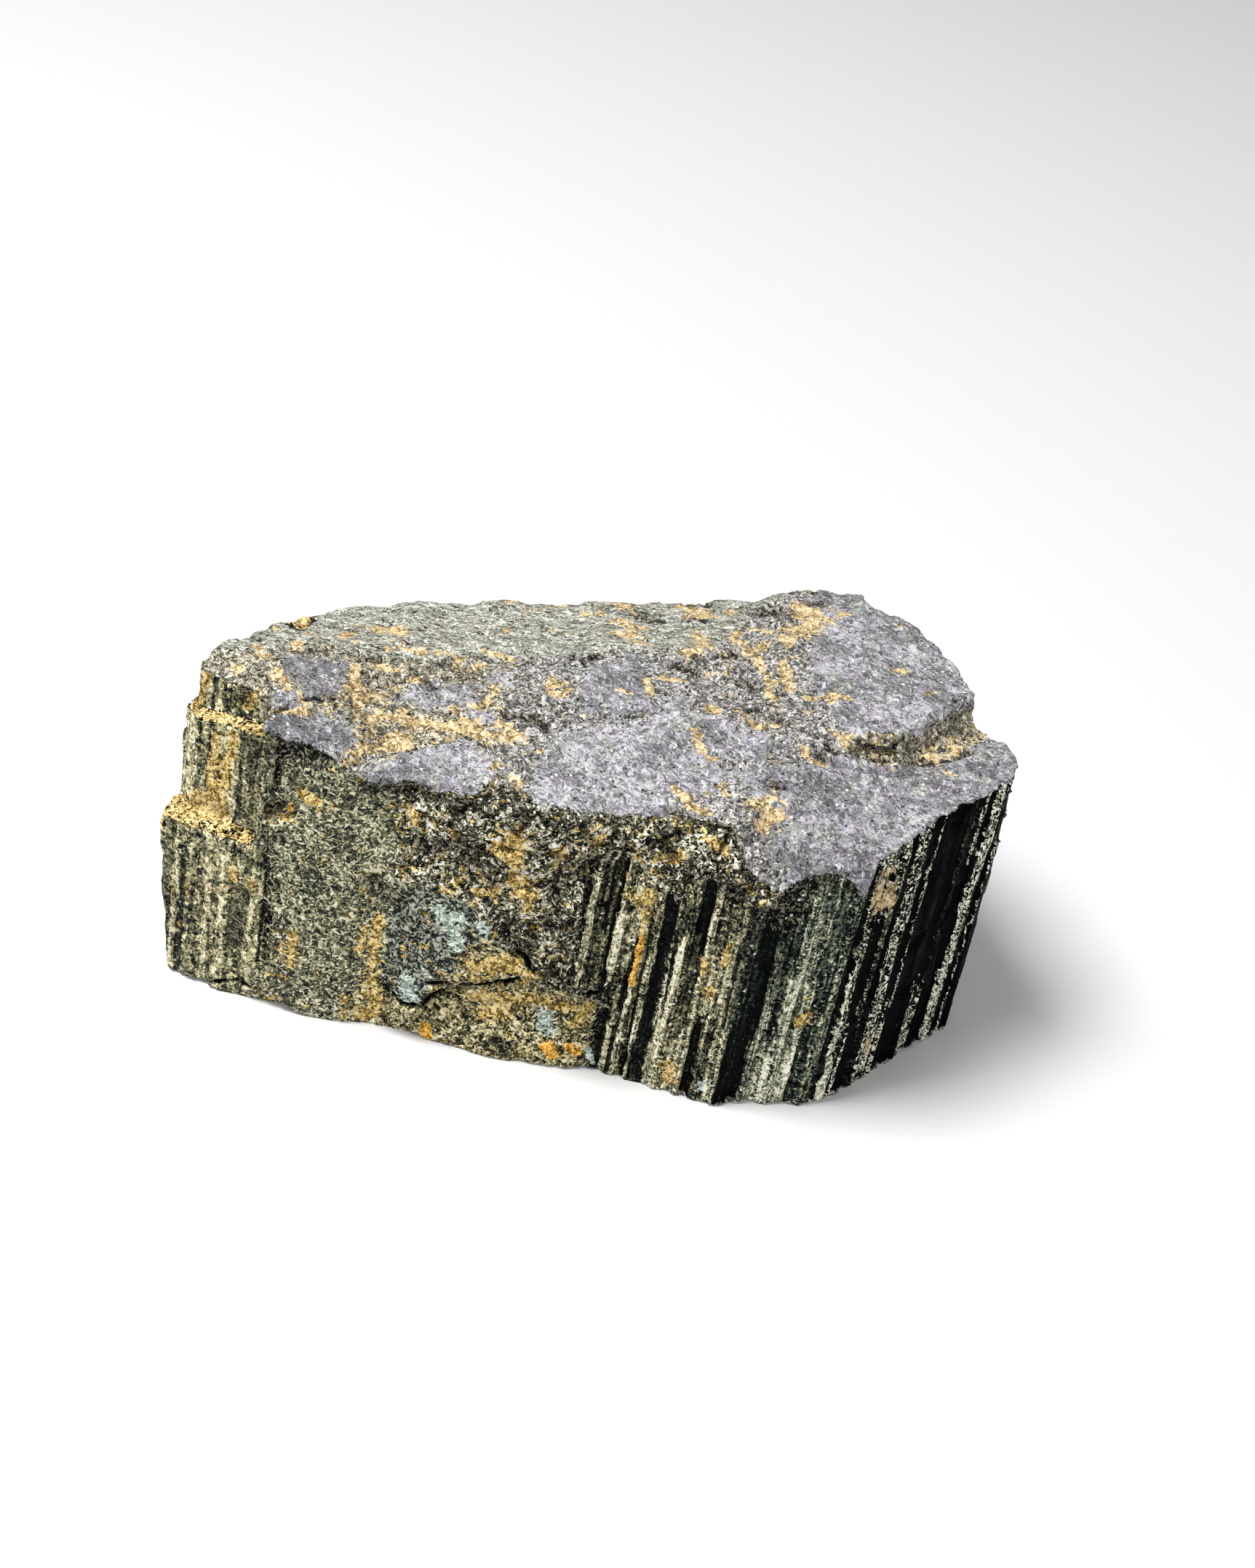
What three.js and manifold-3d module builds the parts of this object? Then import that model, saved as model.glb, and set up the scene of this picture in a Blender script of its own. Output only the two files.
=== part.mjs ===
// A rough chunk of tourmaline, broken from a larger crystal, as one closed faceted solid.
// Millimetres, +Z up along the crystal's long axis, the flat underside at z = 0.
// The sides are the crystal's own ribbed faces, the top is a stepped fracture.
import * as THREE from "three";
import { ImprovedNoise } from "three/addons/math/ImprovedNoise.js";
import Module from "manifold-3d";

const wasm = await Module();
wasm.setup();

// Driving dimensions
const FULL_HEIGHT = 58;      // the ribbed sides are drawn this high, then the fracture cuts them
const SEGMENTS_PER_RIB = 4;  // straight steps round the swell of one rib
const TOP_GRID = 2.1;        // spacing of the points on the fracture
const BASE_GRID = 5;         // spacing of the points on the underside
const GRAIN_HEIGHT = 0.55;   // small bumps on the fracture
const GRAIN_WIDTH = 5.5;     // size of those bumps across
const SIDE_WANDER = 0.35;    // how far a rib strays from straight
const RIM_LIFT = 1.5;        // most that the underside curls up at its rim
const RIM_WIDTH = 7;         // width of the band that can curl up
const FAR = 80;              // a length that is well clear of the stone

// Outline of the sides seen from above, anticlockwise from the left front corner.
// Each entry starts a run: x, y, how many ribs it has, and how far each one swells,
// as a share of its width. A negative swell is a hollow flute.
const OUTLINE = [
  // left front corner, ribbed
  [-56.4, -29.8, 1, 0.18],
  [-54.6, -30.8, 1, 0.14],
  [-50.8, -31.6, 1, 0.12],
  [-46.6, -32.8, 1, 0.1],
  // front left, a flat grainy face
  [-42.6, -33.7, 1, 0.02],
  [-34.0, -34.3, 1, 0.03],
  [-26.5, -33.3, 1, -0.02],
  // front middle
  [-20.0, -33.4, 1, 0.03],
  [-13.4, -34.5, 1, 0.03],
  [-7.0, -35.3, 1, -0.02],
  [-1.8, -34.9, 1, 0.05],
  // front right, upright columns
  [0.9, -34.3, 2, 0.2],
  [4.6, -33.4, 1, 0.2],
  [6.9, -33.3, 1, 0.24],
  [9.6, -33.7, 1, 0.16],
  [13.6, -34.3, 1, 0.22],
  [16.8, -34.8, 1, 0.16],
  [19.4, -35.0, 1, 0.22],
  [22.0, -35.4, 1, 0.3],
  [25.6, -34.7, 1, 0.2],
  // broad scalloped column
  [28.2, -33.3, 1, 0.08],
  [31.6, -33.3, 1, -0.07],
  [34.8, -32.8, 1, 0.14],
  [37.8, -31.0, 1, 0.18],
  // right face, finely ribbed
  [39.4, -29.3, 2, 0.2],
  [43.4, -24.8, 3, 0.18],
  [49.4, -17.4, 2, 0.24],
  [53.4, -13.2, 2, 0.26],
  [56.5, -7.4, 1, 0.2],
  // right end and back, away from the photo's view
  [56.8, -4.0, 1, 0.16],
  [53.6, -0.8, 1, 0.12],
  [50.6, 1.0, 2, 0.16],
  [48.6, 6.6, 1, 0.14],
  [45.4, 11.4, 2, 0.14],
  [40.8, 18.6, 2, 0.1],
  [33.8, 21.6, 1, -0.1],
  [31.6, 25.0, 2, 0.12],
  [24.0, 25.4, 1, 0.1],
  [21.0, 23.4, 2, 0.12],
  [8.4, 19.4, 4, 0.1],
  [-8.8, 13.8, 3, 0.14],
  [-20.8, 10.2, 2, 0.1],
  [-28.4, 7.4, 3, 0.14],
  [-40.6, 2.2, 1, 0.1],
  [-43.6, -2.4, 2, 0.14],
  [-48.8, -11.6, 3, 0.12],
];

// How far the sides stand out at each height, at the left end, the right end and the back
const LEAN = [
  { z: -3, left: -0.4, right: 0.1, back: 1.4 },
  { z: 4, left: 0.1, right: 0, back: 2.2 },
  { z: 14, left: 1.1, right: 0, back: 2.6 },
  { z: 26, left: 1.9, right: -0.3, back: 2.2 },
  { z: 40, left: 1.6, right: -0.9, back: 1.0 },
  { z: 48, left: 1.4, right: -1.6, back: 0.0 },
  { z: FULL_HEIGHT, left: 1.0, right: -2.0, back: -1.6 },
];
const LEFT_END = -42;        // the lean fades in from here to the left
const RIGHT_END = 30;        // from here to the right
const BACK = -4;             // and from here to the back
const FADE = 14;             // over this distance

// Facets of the fracture: the middle of each, its height there, and its rise along x and y
const FACETS = [
  // front edge, left to right
  { x: -52, y: -24, z: 49.8, rise: [0.04, 0.1] },
  { x: -44, y: -25, z: 49.2, rise: [-0.1, 0.12] },
  { x: -37, y: -29, z: 47.2, rise: [-0.12, 0.16] },
  { x: -27, y: -31, z: 44.8, rise: [-0.06, 0.22] },
  { x: -16, y: -31, z: 44.4, rise: [0.05, 0.24] },
  { x: -6, y: -31, z: 44.6, rise: [-0.02, 0.2] },
  { x: 5, y: -30, z: 44.6, rise: [0.05, 0.26] },
  { x: 15, y: -27, z: 46.3, rise: [0.0, 0.16] },
  { x: 25, y: -32, z: 42.4, rise: [-0.06, 0.34] },
  { x: 32, y: -30, z: 44.2, rise: [0.02, 0.3] },
  { x: 40, y: -25, z: 45.0, rise: [0.06, 0.14] },
  // middle band
  { x: -47, y: -15, z: 48.8, rise: [-0.04, -0.12] },
  { x: -39, y: -19, z: 48.6, rise: [-0.06, 0.02] },
  { x: -29, y: -21, z: 46.4, rise: [-0.02, 0.12] },
  { x: -19, y: -21, z: 46.9, rise: [0.0, 0.14] },
  { x: -7, y: -20, z: 46.4, rise: [0.02, 0.2] },
  { x: 6, y: -19, z: 47.2, rise: [0.02, 0.16] },
  { x: 21, y: -20, z: 46.9, rise: [0.02, 0.18] },
  // ridge
  { x: -40, y: -10, z: 48.0, rise: [0.02, -0.14] },
  { x: -28, y: -11, z: 48.2, rise: [-0.01, -0.04] },
  { x: -14, y: -9, z: 48.2, rise: [0.02, 0.02] },
  { x: -1, y: -7, z: 49.2, rise: [0.03, 0.04] },
  { x: 12, y: -6, z: 49.4, rise: [0.02, 0.1] },
  { x: 23, y: -8, z: 49.5, rise: [0.04, 0.12] },
  // high block at the right back
  { x: 33, y: -7, z: 50.6, rise: [0.02, 0.08] },
  { x: 39, y: -2, z: 51.0, rise: [0.0, 0.05] },
  { x: 43, y: 4, z: 51.1, rise: [-0.03, 0.0] },
  { x: 35, y: 9, z: 51.6, rise: [0.0, 0.0] },
  { x: 25, y: 5, z: 50.8, rise: [0.03, 0.03] },
  { x: 25, y: 15, z: 50.0, rise: [0.05, -0.08] },
  { x: 38, y: 15, z: 50.9, rise: [0.0, -0.08] },
  // low shelf in front of that block
  { x: 33, y: -17, z: 46.9, rise: [0.02, 0.14] },
  { x: 46, y: -9, z: 46.5, rise: [0.02, 0.08] },
  { x: 52, y: -3, z: 46.9, rise: [0.0, 0.05] },
  { x: 53, y: -10, z: 46.6, rise: [0.02, 0.04] },
  { x: 44, y: -18, z: 46.2, rise: [0.02, 0.06] },
  // long slope at the left back
  { x: -39, y: -4, z: 46.4, rise: [0.02, -0.2] },
  { x: -28, y: 1, z: 46.3, rise: [0.0, -0.18] },
  { x: -14, y: 6, z: 46.4, rise: [0.01, -0.16] },
  { x: -1, y: 11, z: 46.8, rise: [0.02, -0.16] },
  { x: 12, y: 14, z: 47.6, rise: [0.05, -0.14] },
];
const FACET_CRISPNESS = 9;   // power of the distance: a higher one makes sharper steps

// A slab of the front face that stands proud. Corners are x, z as seen from the front.
const BULGE = {
  corners: [
    [-27, 10], [-26.2, 6], [-22, 4.4], [-19.4, 5.4], [-18, 10], [-13, 14], [-11, 19.6], [-6, 18],
    [-1, 15], [1.2, 14], [1.6, 24], [0, 36], [-6, 41.5], [-16, 43], [-27, 38], [-31, 27], [-30, 16],
  ],
  y: -37.0,
  rise: [-0.078, 0.046],
};

// Pieces broken out of the front face: corners are x, z, and the floor of each is a plane
const FRONT_BREAKS = [
  // hollow with a stained floor, under the bulge
  {
    corners: [
      [-19.6, -4], [-20.6, 4], [-17, 9.4], [-12, 13.2], [-6, 16], [0, 13.6], [6, 12.2], [9.4, 10.6],
      [9.4, -4],
    ],
    y: -35.6,
    rise: [0.0, 0.26],
  },
  // small dark step at the left
  { corners: [[-44, 32.6], [-39.4, 34.2], [-39.2, 37.4], [-43.8, 36]], y: -32.4, rise: [0, 0] },
  // thin undercut near the foot
  { corners: [[-47, -4], [-46.4, 1.4], [-40, 1.7], [-37, 0.8], [-36, -4]], y: -32.9, rise: [0, 0] },
];

// The same on the back, which the photo doesn't show, so their places are a guess
const BACK_BREAKS = [
  // long flake off the foot, thinning out upwards
  {
    corners: [
      [-15.6, -4], [-16.2, 8], [-12.4, 9], [-12, 17], [-6.2, 18.4], [-6, 27], [8.6, 27], [8.8, 15],
      [12.6, 13.6], [13.2, -4],
    ],
    y: 15.4,
    rise: [0.33, 0.16],
  },
  // columns broken short under the left part of the rim, thinning out downwards
  {
    corners: [
      [-39.6, 10], [-40, 33.4], [-36.4, 34.6], [-36, 40.4], [-29.4, 41.6], [-29, 36.4], [-24.8, 35.4],
      [-24.4, 28.6], [-20.6, 27.6], [-20.8, 10],
    ],
    y: 21.4,
    rise: [0.36, -0.11],
  },
  // and along the corner at the right
  {
    corners: [
      [32.4, 42.4], [32.8, 25], [36.6, 24], [37, 17.4], [41.4, 16.6], [41.8, 10.6], [46.4, 9.8],
      [46.8, 33], [42.6, 34.4], [42.2, 41.4],
    ],
    y: 54.7,
    rise: [-0.879, 0.0],
  },
];

// Pieces broken off from above: corners are x, y, and the floor of each is a plane
const TOP_BREAKS = [
  // the left end is set back above a ledge
  {
    corners: [
      [-66, -8], [-56, -12], [-57, -25.6], [-54.6, -28.4], [-50.6, -28.7], [-47.6, -30.2], [-45, -30.8],
      [-44.6, -40], [-66, -40],
    ],
    z: 28,
    rise: [0.04, 0.1],
    pivot: [-50, -31],
  },
  // and again above a second one
  {
    corners: [[-66, -10], [-56.4, -16], [-55.4, -25.8], [-49, -27.4], [-45, -28.2], [-44.6, -40], [-66, -40]],
    z: 43.8,
    rise: [0.16, 0.2],
    pivot: [-50, -29],
  },
  // chamfer on the front edge
  {
    corners: [[9, -40], [28, -40], [26, -31.4], [20, -30.2], [13.6, -29.6], [9.4, -32]],
    z: 42.2,
    rise: [-0.04, 0.95],
    pivot: [16, -34.6],
  },
  // scoop in the edge beside the broad column
  {
    corners: [[18.8, -40], [28.0, -40], [28.9, -33.4], [28.2, -29.4], [24, -27], [20, -27.6]],
    z: 37.8,
    rise: [-0.55, 1.05],
    pivot: [26, -34.8],
  },
  // and the slope on the column's other side
  {
    corners: [[34.8, -40], [38.4, -40], [38.4, -31], [36.6, -28.4], [34.9, -30.6]],
    z: 41.6,
    rise: [-0.5, 0.9],
    pivot: [36, -32.4],
  },
  // recess in the right face, under the end of one short column
  {
    corners: [[38.9, -28.8], [40.4, -31.2], [44.4, -26.6], [42.2, -25.4], [41.2, -26.8], [40.6, -26.6]],
    z: 16,
    rise: [-7, 5.6],
    pivot: [40.2, -28.2],
    top: 35.8,
  },
];

const noise = new ImprovedNoise();

// Three octaves of smooth noise
function rough(x, y, z) {
  const broad = noise.noise(x, y, z);
  const middle = noise.noise(2.1 * x, 2.1 * y, 2.1 * z + 7);
  const fine = noise.noise(4.3 * x, 4.3 * y, 4.3 * z + 13);
  return broad + 0.5 * middle + 0.25 * fine;
}

// A repeatable number from 0 to 1 for a whole number
function chance(index) {
  const wave = Math.sin(index * 12.9898 + 4.1) * 43758.5453;
  return wave - Math.floor(wave);
}

// A closed mesh as a manifold-3d solid
function solid(vertices, triangles) {
  return new wasm.Manifold(new wasm.Mesh({
    numProp: 3,
    vertProperties: new Float32Array(vertices.flat()),
    triVerts: new Uint32Array(triangles.flat()),
  }));
}

// A closed solid through rings of points, one above the other, the same number in each.
// drawn is the rings' outline in 2-D, as seen from the last ring's side.
function loft(drawn, rings) {
  const contour = drawn.map(([u, v]) => new THREE.Vector2(u, v));
  if (THREE.ShapeUtils.isClockWise(contour)) {
    contour.reverse();
    rings = rings.map((ring) => [...ring].reverse());
  }
  const count = contour.length;
  const last = (rings.length - 1) * count;
  const faces = THREE.ShapeUtils.triangulateShape(contour, []);
  const triangles = [];
  for (const [a, b, c] of faces) {
    triangles.push([a, c, b], [last + a, last + b, last + c]);
  }
  for (let row = 0; row < last; row += count) {
    for (let i = 0; i < count; i += 1) {
      const next = (i + 1) % count;
      triangles.push([row + i, row + next, row + count + next]);
      triangles.push([row + i, row + count + next, row + count + i]);
    }
  }
  return solid(rings.flat(), triangles);
}

// The outline with every rib drawn in
function ribbedOutline() {
  const points = [];
  OUTLINE.forEach(([x, y, ribs, swell], run) => {
    const [endX, endY] = OUTLINE[(run + 1) % OUTLINE.length];
    const widths = Array.from({ length: ribs }, (_, rib) => 0.4 + 1.2 * chance(7 * run + rib));
    const whole = widths.reduce((sum, width) => sum + width, 0);
    let start = 0;
    widths.forEach((width) => {
      const share = width / whole;
      for (let step = 0; step < SEGMENTS_PER_RIB; step += 1) {
        const along = step / SEGMENTS_PER_RIB;
        const out = swell * share * Math.sin(Math.PI * along);
        const t = start + share * along;
        points.push([
          x + (endX - x) * t + (endY - y) * out,
          y + (endY - y) * t - (endX - x) * out,
        ]);
      }
      start += share;
    });
  });
  return points;
}

// The ribbed sides, leaning and wandering a little from straight
function sides(outline) {
  const rings = LEAN.map(({ z, left, right, back }) => outline.map(([x, y]) => {
    const toLeft = THREE.MathUtils.smoothstep(-x, -LEFT_END, -LEFT_END + FADE);
    const toRight = THREE.MathUtils.smoothstep(x, RIGHT_END, RIGHT_END + FADE);
    const toBack = THREE.MathUtils.smoothstep(y, BACK, BACK + FADE);
    const reach = Math.hypot(x, y);
    const out = SIDE_WANDER * rough(x / 9, y / 9, z / 22);
    const newX = x - left * toLeft + right * toRight + out * x / reach;
    return [newX, y + back * toBack + out * y / reach, z];
  }));
  return loft(outline, rings);
}

// Height of the fracture: the nearest facets' planes, sharply blended, with a grain
function fractureHeight(x, y) {
  const bend = 1.6;
  const u = x + bend * noise.noise(x / 8, y / 8, 3);
  const v = y + bend * noise.noise(x / 8, y / 8, 9);
  let total = 0;
  let height = 0;
  for (const facet of FACETS) {
    const dx = u - facet.x;
    const dy = v - facet.y;
    const weight = (dx * dx + dy * dy + 0.5) ** (-FACET_CRISPNESS);
    total += weight;
    height += weight * (facet.z + facet.rise[0] * (x - facet.x) + facet.rise[1] * (y - facet.y));
  }
  return height / total + GRAIN_HEIGHT * rough(x / GRAIN_WIDTH, y / GRAIN_WIDTH, 5);
}

// Distance from a point to the outline
function rimDistance(x, y, outline) {
  return Math.min(...outline.map(([rimX, rimY]) => Math.hypot(x - rimX, y - rimY)));
}

// Height of the underside: flat, except where its rim curls up
function undersideHeight(x, y, outline) {
  const nearRim = 1 - rimDistance(x, y, outline) / RIM_WIDTH;
  const patch = rough(x / 16, y / 16, 21) - 0.1;
  return RIM_LIFT * Math.max(0, Math.min(1, 2 * nearRim)) * Math.max(0, Math.min(1, 3 * patch));
}

// The closed space between a height field and a level far above or below it
function halfSpace(height, spacing, level) {
  const columns = Math.ceil(2 * FAR / spacing) + 1;
  const rows = Math.ceil(1.2 * FAR / spacing) + 1;
  const surface = [];
  const flat = [];
  for (let row = 0; row < rows; row += 1) {
    for (let column = 0; column < columns; column += 1) {
      const x = (column - (columns - 1) / 2) * spacing;
      const y = (row - (rows - 1) / 2) * spacing;
      surface.push([x, y, height(x, y)]);
      flat.push([x, y, level]);
    }
  }
  const up = level < 0;
  const triangles = [];
  const face = (a, b, c) => triangles.push(up ? [a, b, c] : [a, c, b]);
  const count = surface.length;
  for (let row = 0; row + 1 < rows; row += 1) {
    for (let column = 0; column + 1 < columns; column += 1) {
      const a = row * columns + column;
      const b = a + 1;
      const c = b + columns;
      const d = a + columns;
      face(a, b, c);
      face(a, c, d);
      face(count + a, count + c, count + b);
      face(count + a, count + d, count + c);
    }
  }
  const wall = (a, b) => {
    face(b, a, count + a);
    face(b, count + a, count + b);
  };
  for (let column = 0; column + 1 < columns; column += 1) {
    wall(column, column + 1);
    wall((rows - 1) * columns + column + 1, (rows - 1) * columns + column);
  }
  for (let row = 0; row + 1 < rows; row += 1) {
    wall((row + 1) * columns, row * columns);
    wall((row + 1) * columns - 1, (row + 2) * columns - 1);
  }
  return solid([...surface, ...flat], triangles);
}

// A prism drawn on the front or back face, from the plane y to the depth given
function wallPrism({ corners, y, rise }, depth) {
  const plane = corners.map(([x, z]) => [x, y + rise[0] * x + rise[1] * z, z]);
  const level = corners.map(([x, z]) => [x, depth, z]);
  const rings = depth < y ? [plane, level] : [level, plane];
  return loft(corners, rings);
}

// A prism drawn from above, from its sloping floor to the top given or well above the stone
function topPrism({ corners, z, rise, pivot, top = FAR }) {
  const floor = corners.map(([x, y]) => [x, y, z + rise[0] * (x - pivot[0]) + rise[1] * (y - pivot[1])]);
  const ceiling = corners.map(([x, y]) => [x, y, top]);
  return loft(corners, [floor, ceiling]);
}

// The whole stone
function tourmaline() {
  const outline = ribbedOutline();
  let stone = sides(outline).add(wallPrism(BULGE, -20));
  for (const piece of FRONT_BREAKS) {
    stone = stone.subtract(wallPrism(piece, -FAR));
  }
  for (const piece of BACK_BREAKS) {
    stone = stone.subtract(wallPrism(piece, FAR));
  }
  stone = stone.intersect(halfSpace(fractureHeight, TOP_GRID, -FAR));
  for (const piece of TOP_BREAKS) {
    stone = stone.subtract(topPrism(piece));
  }
  return stone.intersect(halfSpace((x, y) => undersideHeight(x, y, outline), BASE_GRID, FAR));
}

// A manifold-3d solid as a three.js geometry
function geometryOf(stone) {
  const { vertProperties, triVerts } = stone.getMesh();
  const geometry = new THREE.BufferGeometry();
  geometry.setAttribute("position", new THREE.BufferAttribute(new Float32Array(vertProperties), 3));
  geometry.setIndex(new THREE.BufferAttribute(new Uint32Array(triVerts), 1));
  const flatShaded = geometry.toNonIndexed();
  flatShaded.computeVertexNormals();
  return flatShaded;
}

const stoneMaterial = new THREE.MeshStandardMaterial({ color: 0x5c5d52, roughness: 0.8, metalness: 0 });
const mesh = new THREE.Mesh(geometryOf(tourmaline()), stoneMaterial);
mesh.name = "tourmaline";

// The origin is the middle of the stone's box, on the surface that it rests on
mesh.geometry.computeBoundingBox();
const middle = mesh.geometry.boundingBox.getCenter(new THREE.Vector3());
mesh.position.set(-middle.x, -middle.y, 0);

const part = new THREE.Group();
part.add(mesh);

export default part;
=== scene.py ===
# The looks of a rough tourmaline: the solid's shape in a fine mesh, with the ribs, grain,
# chips and cracks of the real stone, and a procedural material for its lustre and stains.
import math

import bpy
import numpy as np
from mathutils import Matrix, Vector


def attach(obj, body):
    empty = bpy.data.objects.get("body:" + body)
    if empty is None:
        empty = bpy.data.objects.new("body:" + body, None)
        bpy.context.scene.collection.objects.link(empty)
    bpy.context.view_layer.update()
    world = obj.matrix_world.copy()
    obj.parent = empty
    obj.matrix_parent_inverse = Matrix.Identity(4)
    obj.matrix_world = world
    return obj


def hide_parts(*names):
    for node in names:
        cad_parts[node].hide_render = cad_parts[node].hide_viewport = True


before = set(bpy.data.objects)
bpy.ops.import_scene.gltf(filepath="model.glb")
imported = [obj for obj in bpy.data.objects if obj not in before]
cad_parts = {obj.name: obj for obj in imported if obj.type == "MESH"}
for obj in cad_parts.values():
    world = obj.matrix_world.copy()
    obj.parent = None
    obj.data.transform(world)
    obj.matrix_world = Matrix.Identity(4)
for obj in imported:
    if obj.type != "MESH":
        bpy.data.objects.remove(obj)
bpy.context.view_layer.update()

MM = 0.001
scene = bpy.context.scene

# Where the drawing's origin lies in the frame, in mm. All places below are in the drawing.
DRAWN_AT = np.array([0.48, 3.97, 0])

# Camera, measured in the photograph
PHOTO_LONG_SIDE = 2156
FOCAL_PIXELS = 3500
CAMERA_ELEVATION = math.radians(36.7)
CAMERA_ROLL = math.radians(11.4)
CAMERA_DISTANCE = 378
CAMERA_TARGET = (3, 5, 22)
CAMERA_BACK = (0, -math.cos(CAMERA_ELEVATION), math.sin(CAMERA_ELEVATION))
SENSOR = 36
CLIP = (0.01, 20)

# Studio: each light's place, size and power
KEY_LIGHT = ((-0.35, -0.12, 0.78), 0.32, 11)
FILL_LIGHT = ((0.3, -0.8, 0.45), 0.6, 3.5)
LIGHT_AIM = (0, 0, 0.02)
WORLD_WHITE = (1, 1, 1, 1)
WORLD_STRENGTH = 0.32
FLOOR_HALF = 3.0
FLOOR_GREY = (0.66, 0.66, 0.66, 1)
FLOOR_ROUGHNESS = 0.9

# Mesh: the size of the even grid in mm, the final number of triangles, and steps of smoothing
VOXEL = 0.36
TRIANGLES = 194000
NORMAL_STEPS = 6
CAVITY_STEPS = 8
BAKE_MAP = "OFBake"

# Relief, in mm. The height of a rib goes by how light its band is.
RIB_LIGHTS = [0, 0.1, 0.35, 0.7, 0.9]
RIB_HEIGHTS = [-0.8, -0.5, -0.05, 0.2, 0.25]
LAST_BAND = 20     # the last band of a row is this wide
ROW_FADE = 0.7     # a row fades into the next over this height, below and above its end
GRAIN_SIZE = 1.5
DARK_DEPTH = 0.4
BASE_RIM = (1.2, 0.3)  # between these heights the relief fades towards the flat base
BUMP_HEIGHT = 0.55

# Surface
CHIP_SLOPE = 3     # how much firmer a chip's edge is than a stain's
SPECULAR = 0.02

# Bands of the ribbed walls: the height up to which a row holds, then where each band begins and
# how light it is, from 0 for a black groove to 1 for a pale rib
FRONT_BANDS = [
    (13.8, -9, 0.3, 4.8, 0.08, 6.8, 0.55, 7.4, 0.2, 8.4, 0.75, 8.8, 0.45, 9.6, 0.05, 10.2, 0.7,
     10.6, 0.05, 12.8, 0.35, 13.2, 0.62, 14.8, 0.5, 17, 0.58, 18.5, 0.08, 19.5, 0.33, 21.4, 0.48,
     23.4, 0.03, 26.6, 0.42, 28.6, 0.72, 31.4, 0.5, 31.8, 0.68, 33.2, 0.2, 34.6, 0.36, 37.2, 0.05,
     37.7, 0.72, 38.9, 0.45, 39.6, 0.1),
    (27, -9, 0.1, 1, 0.62, 2, 0.3, 4.6, 0.06, 5, 0.72, 6.2, 0.35, 7.6, 0.1, 8.5, 0.75, 9.5, 0.2,
     10.1, 0.5, 10.9, 0.02, 12.8, 0.3, 13.1, 0.85, 13.4, 0.2, 13.8, 0.72, 14.9, 0.42, 15.9, 0.25,
     17.5, 0.6, 20.8, 0.5, 22, 0.24, 24.6, 0.08, 27, 0.44, 28.3, 0.3, 29.7, 0.68, 31.6, 0.32,
     32.2, 0.55, 33.5, 0.26, 35, 0.4, 37.3, 0.04, 37.9, 0.75, 39.4, 0.05),
    (99, -9, 0.1, 1.1, 0.6, 2, 0.25, 3.3, 0.04, 3.9, 0.3, 4.4, 0.05, 5.1, 0.7, 5.7, 0.35, 7, 0.6,
     9.4, 0.5, 10.2, 0.3, 11, 0.03, 13, 0.36, 15, 0.28, 15.8, 0.03, 17.3, 0.4, 17.6, 0.72,
     18.4, 0.12, 18.9, 0.35, 21.5, 0.45, 22.2, 0.22, 25, 0.03, 27, 0.22, 30.3, 0.54, 32, 0.36,
     33.2, 0.55, 33.6, 0.22, 36, 0.4, 37.4, 0.03, 38.1, 0.5, 39.3, 0.05),
]
LEFT_BANDS = [
    (25.5, -70, 0.42, -57.8, 0.24, -56.4, 0.62, -55.5, 0.14, -54.5, 0.4, -51.5, 0.62, -50.5, 0.3,
     -49.9, 0.46, -49.4, 0.68, -48, 0.42, -45.3, 0.36, -44.8, 0.64, -42.5, 0.46),
    (46.5, -70, 0.6, -54.2, 0.36, -53.2, 0.6, -52.6, 0.24, -52.1, 0.68, -50.9, 0.5, -50, 0.7,
     -48.2, 0.26, -47.2, 0.4, -44.4, 0.28, -43, 0.48),
    (99, -70, 0.66, -52.6, 0.2, -51.7, 0.4, -48.3, 0.46, -46, 0.66, -44.5, 0.5),
]
# The right-hand wall: its front edge and the way along it. Its bands go by the distance from there.
RIGHT_FACE = ((39.4, -29.3), (0.626, 0.779))
RIGHT_BANDS = [
    (12, -9, 0.3, -3.1, 0.05, -2.6, 0.6, -0.4, 0.2, 0.7, 0.75, 1.5, 0.05, 4, 0.2, 5.6, 0.55,
     8.8, 0.15, 9.6, 0.7, 10.2, 0, 15.5, 0.45, 18.2, 0, 20.9, 0.85, 23, 0.35, 24, 0.06, 25.3, 0.7,
     25.9, 0.08),
    (34.5, -9, 0.35, -3.2, 0.04, -2.7, 0.6, -1.4, 0.4, 0.2, 0.02, 2.4, 0.3, 4.2, 0.08, 5.4, 0.45,
     8.6, 0.08, 9.9, 0.6, 10.8, 0, 17.4, 0.2, 18.6, 0, 21.5, 0.85, 23.6, 0.3, 24.7, 0.04, 25.9, 0.6,
     26.6, 0.05),
    (99, -9, 0.4, -3.3, 0.04, -2.4, 0.5, -1.6, 0.42, 1, 0.36, 4.6, 0.08, 5.4, 0.4, 8.5, 0.04,
     10.1, 0.6, 11.1, 0, 17.8, 0.22, 19.2, 0.42, 20.7, 0.02, 21.9, 0.85, 24.3, 0.35, 25, 0.03),
]

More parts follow.
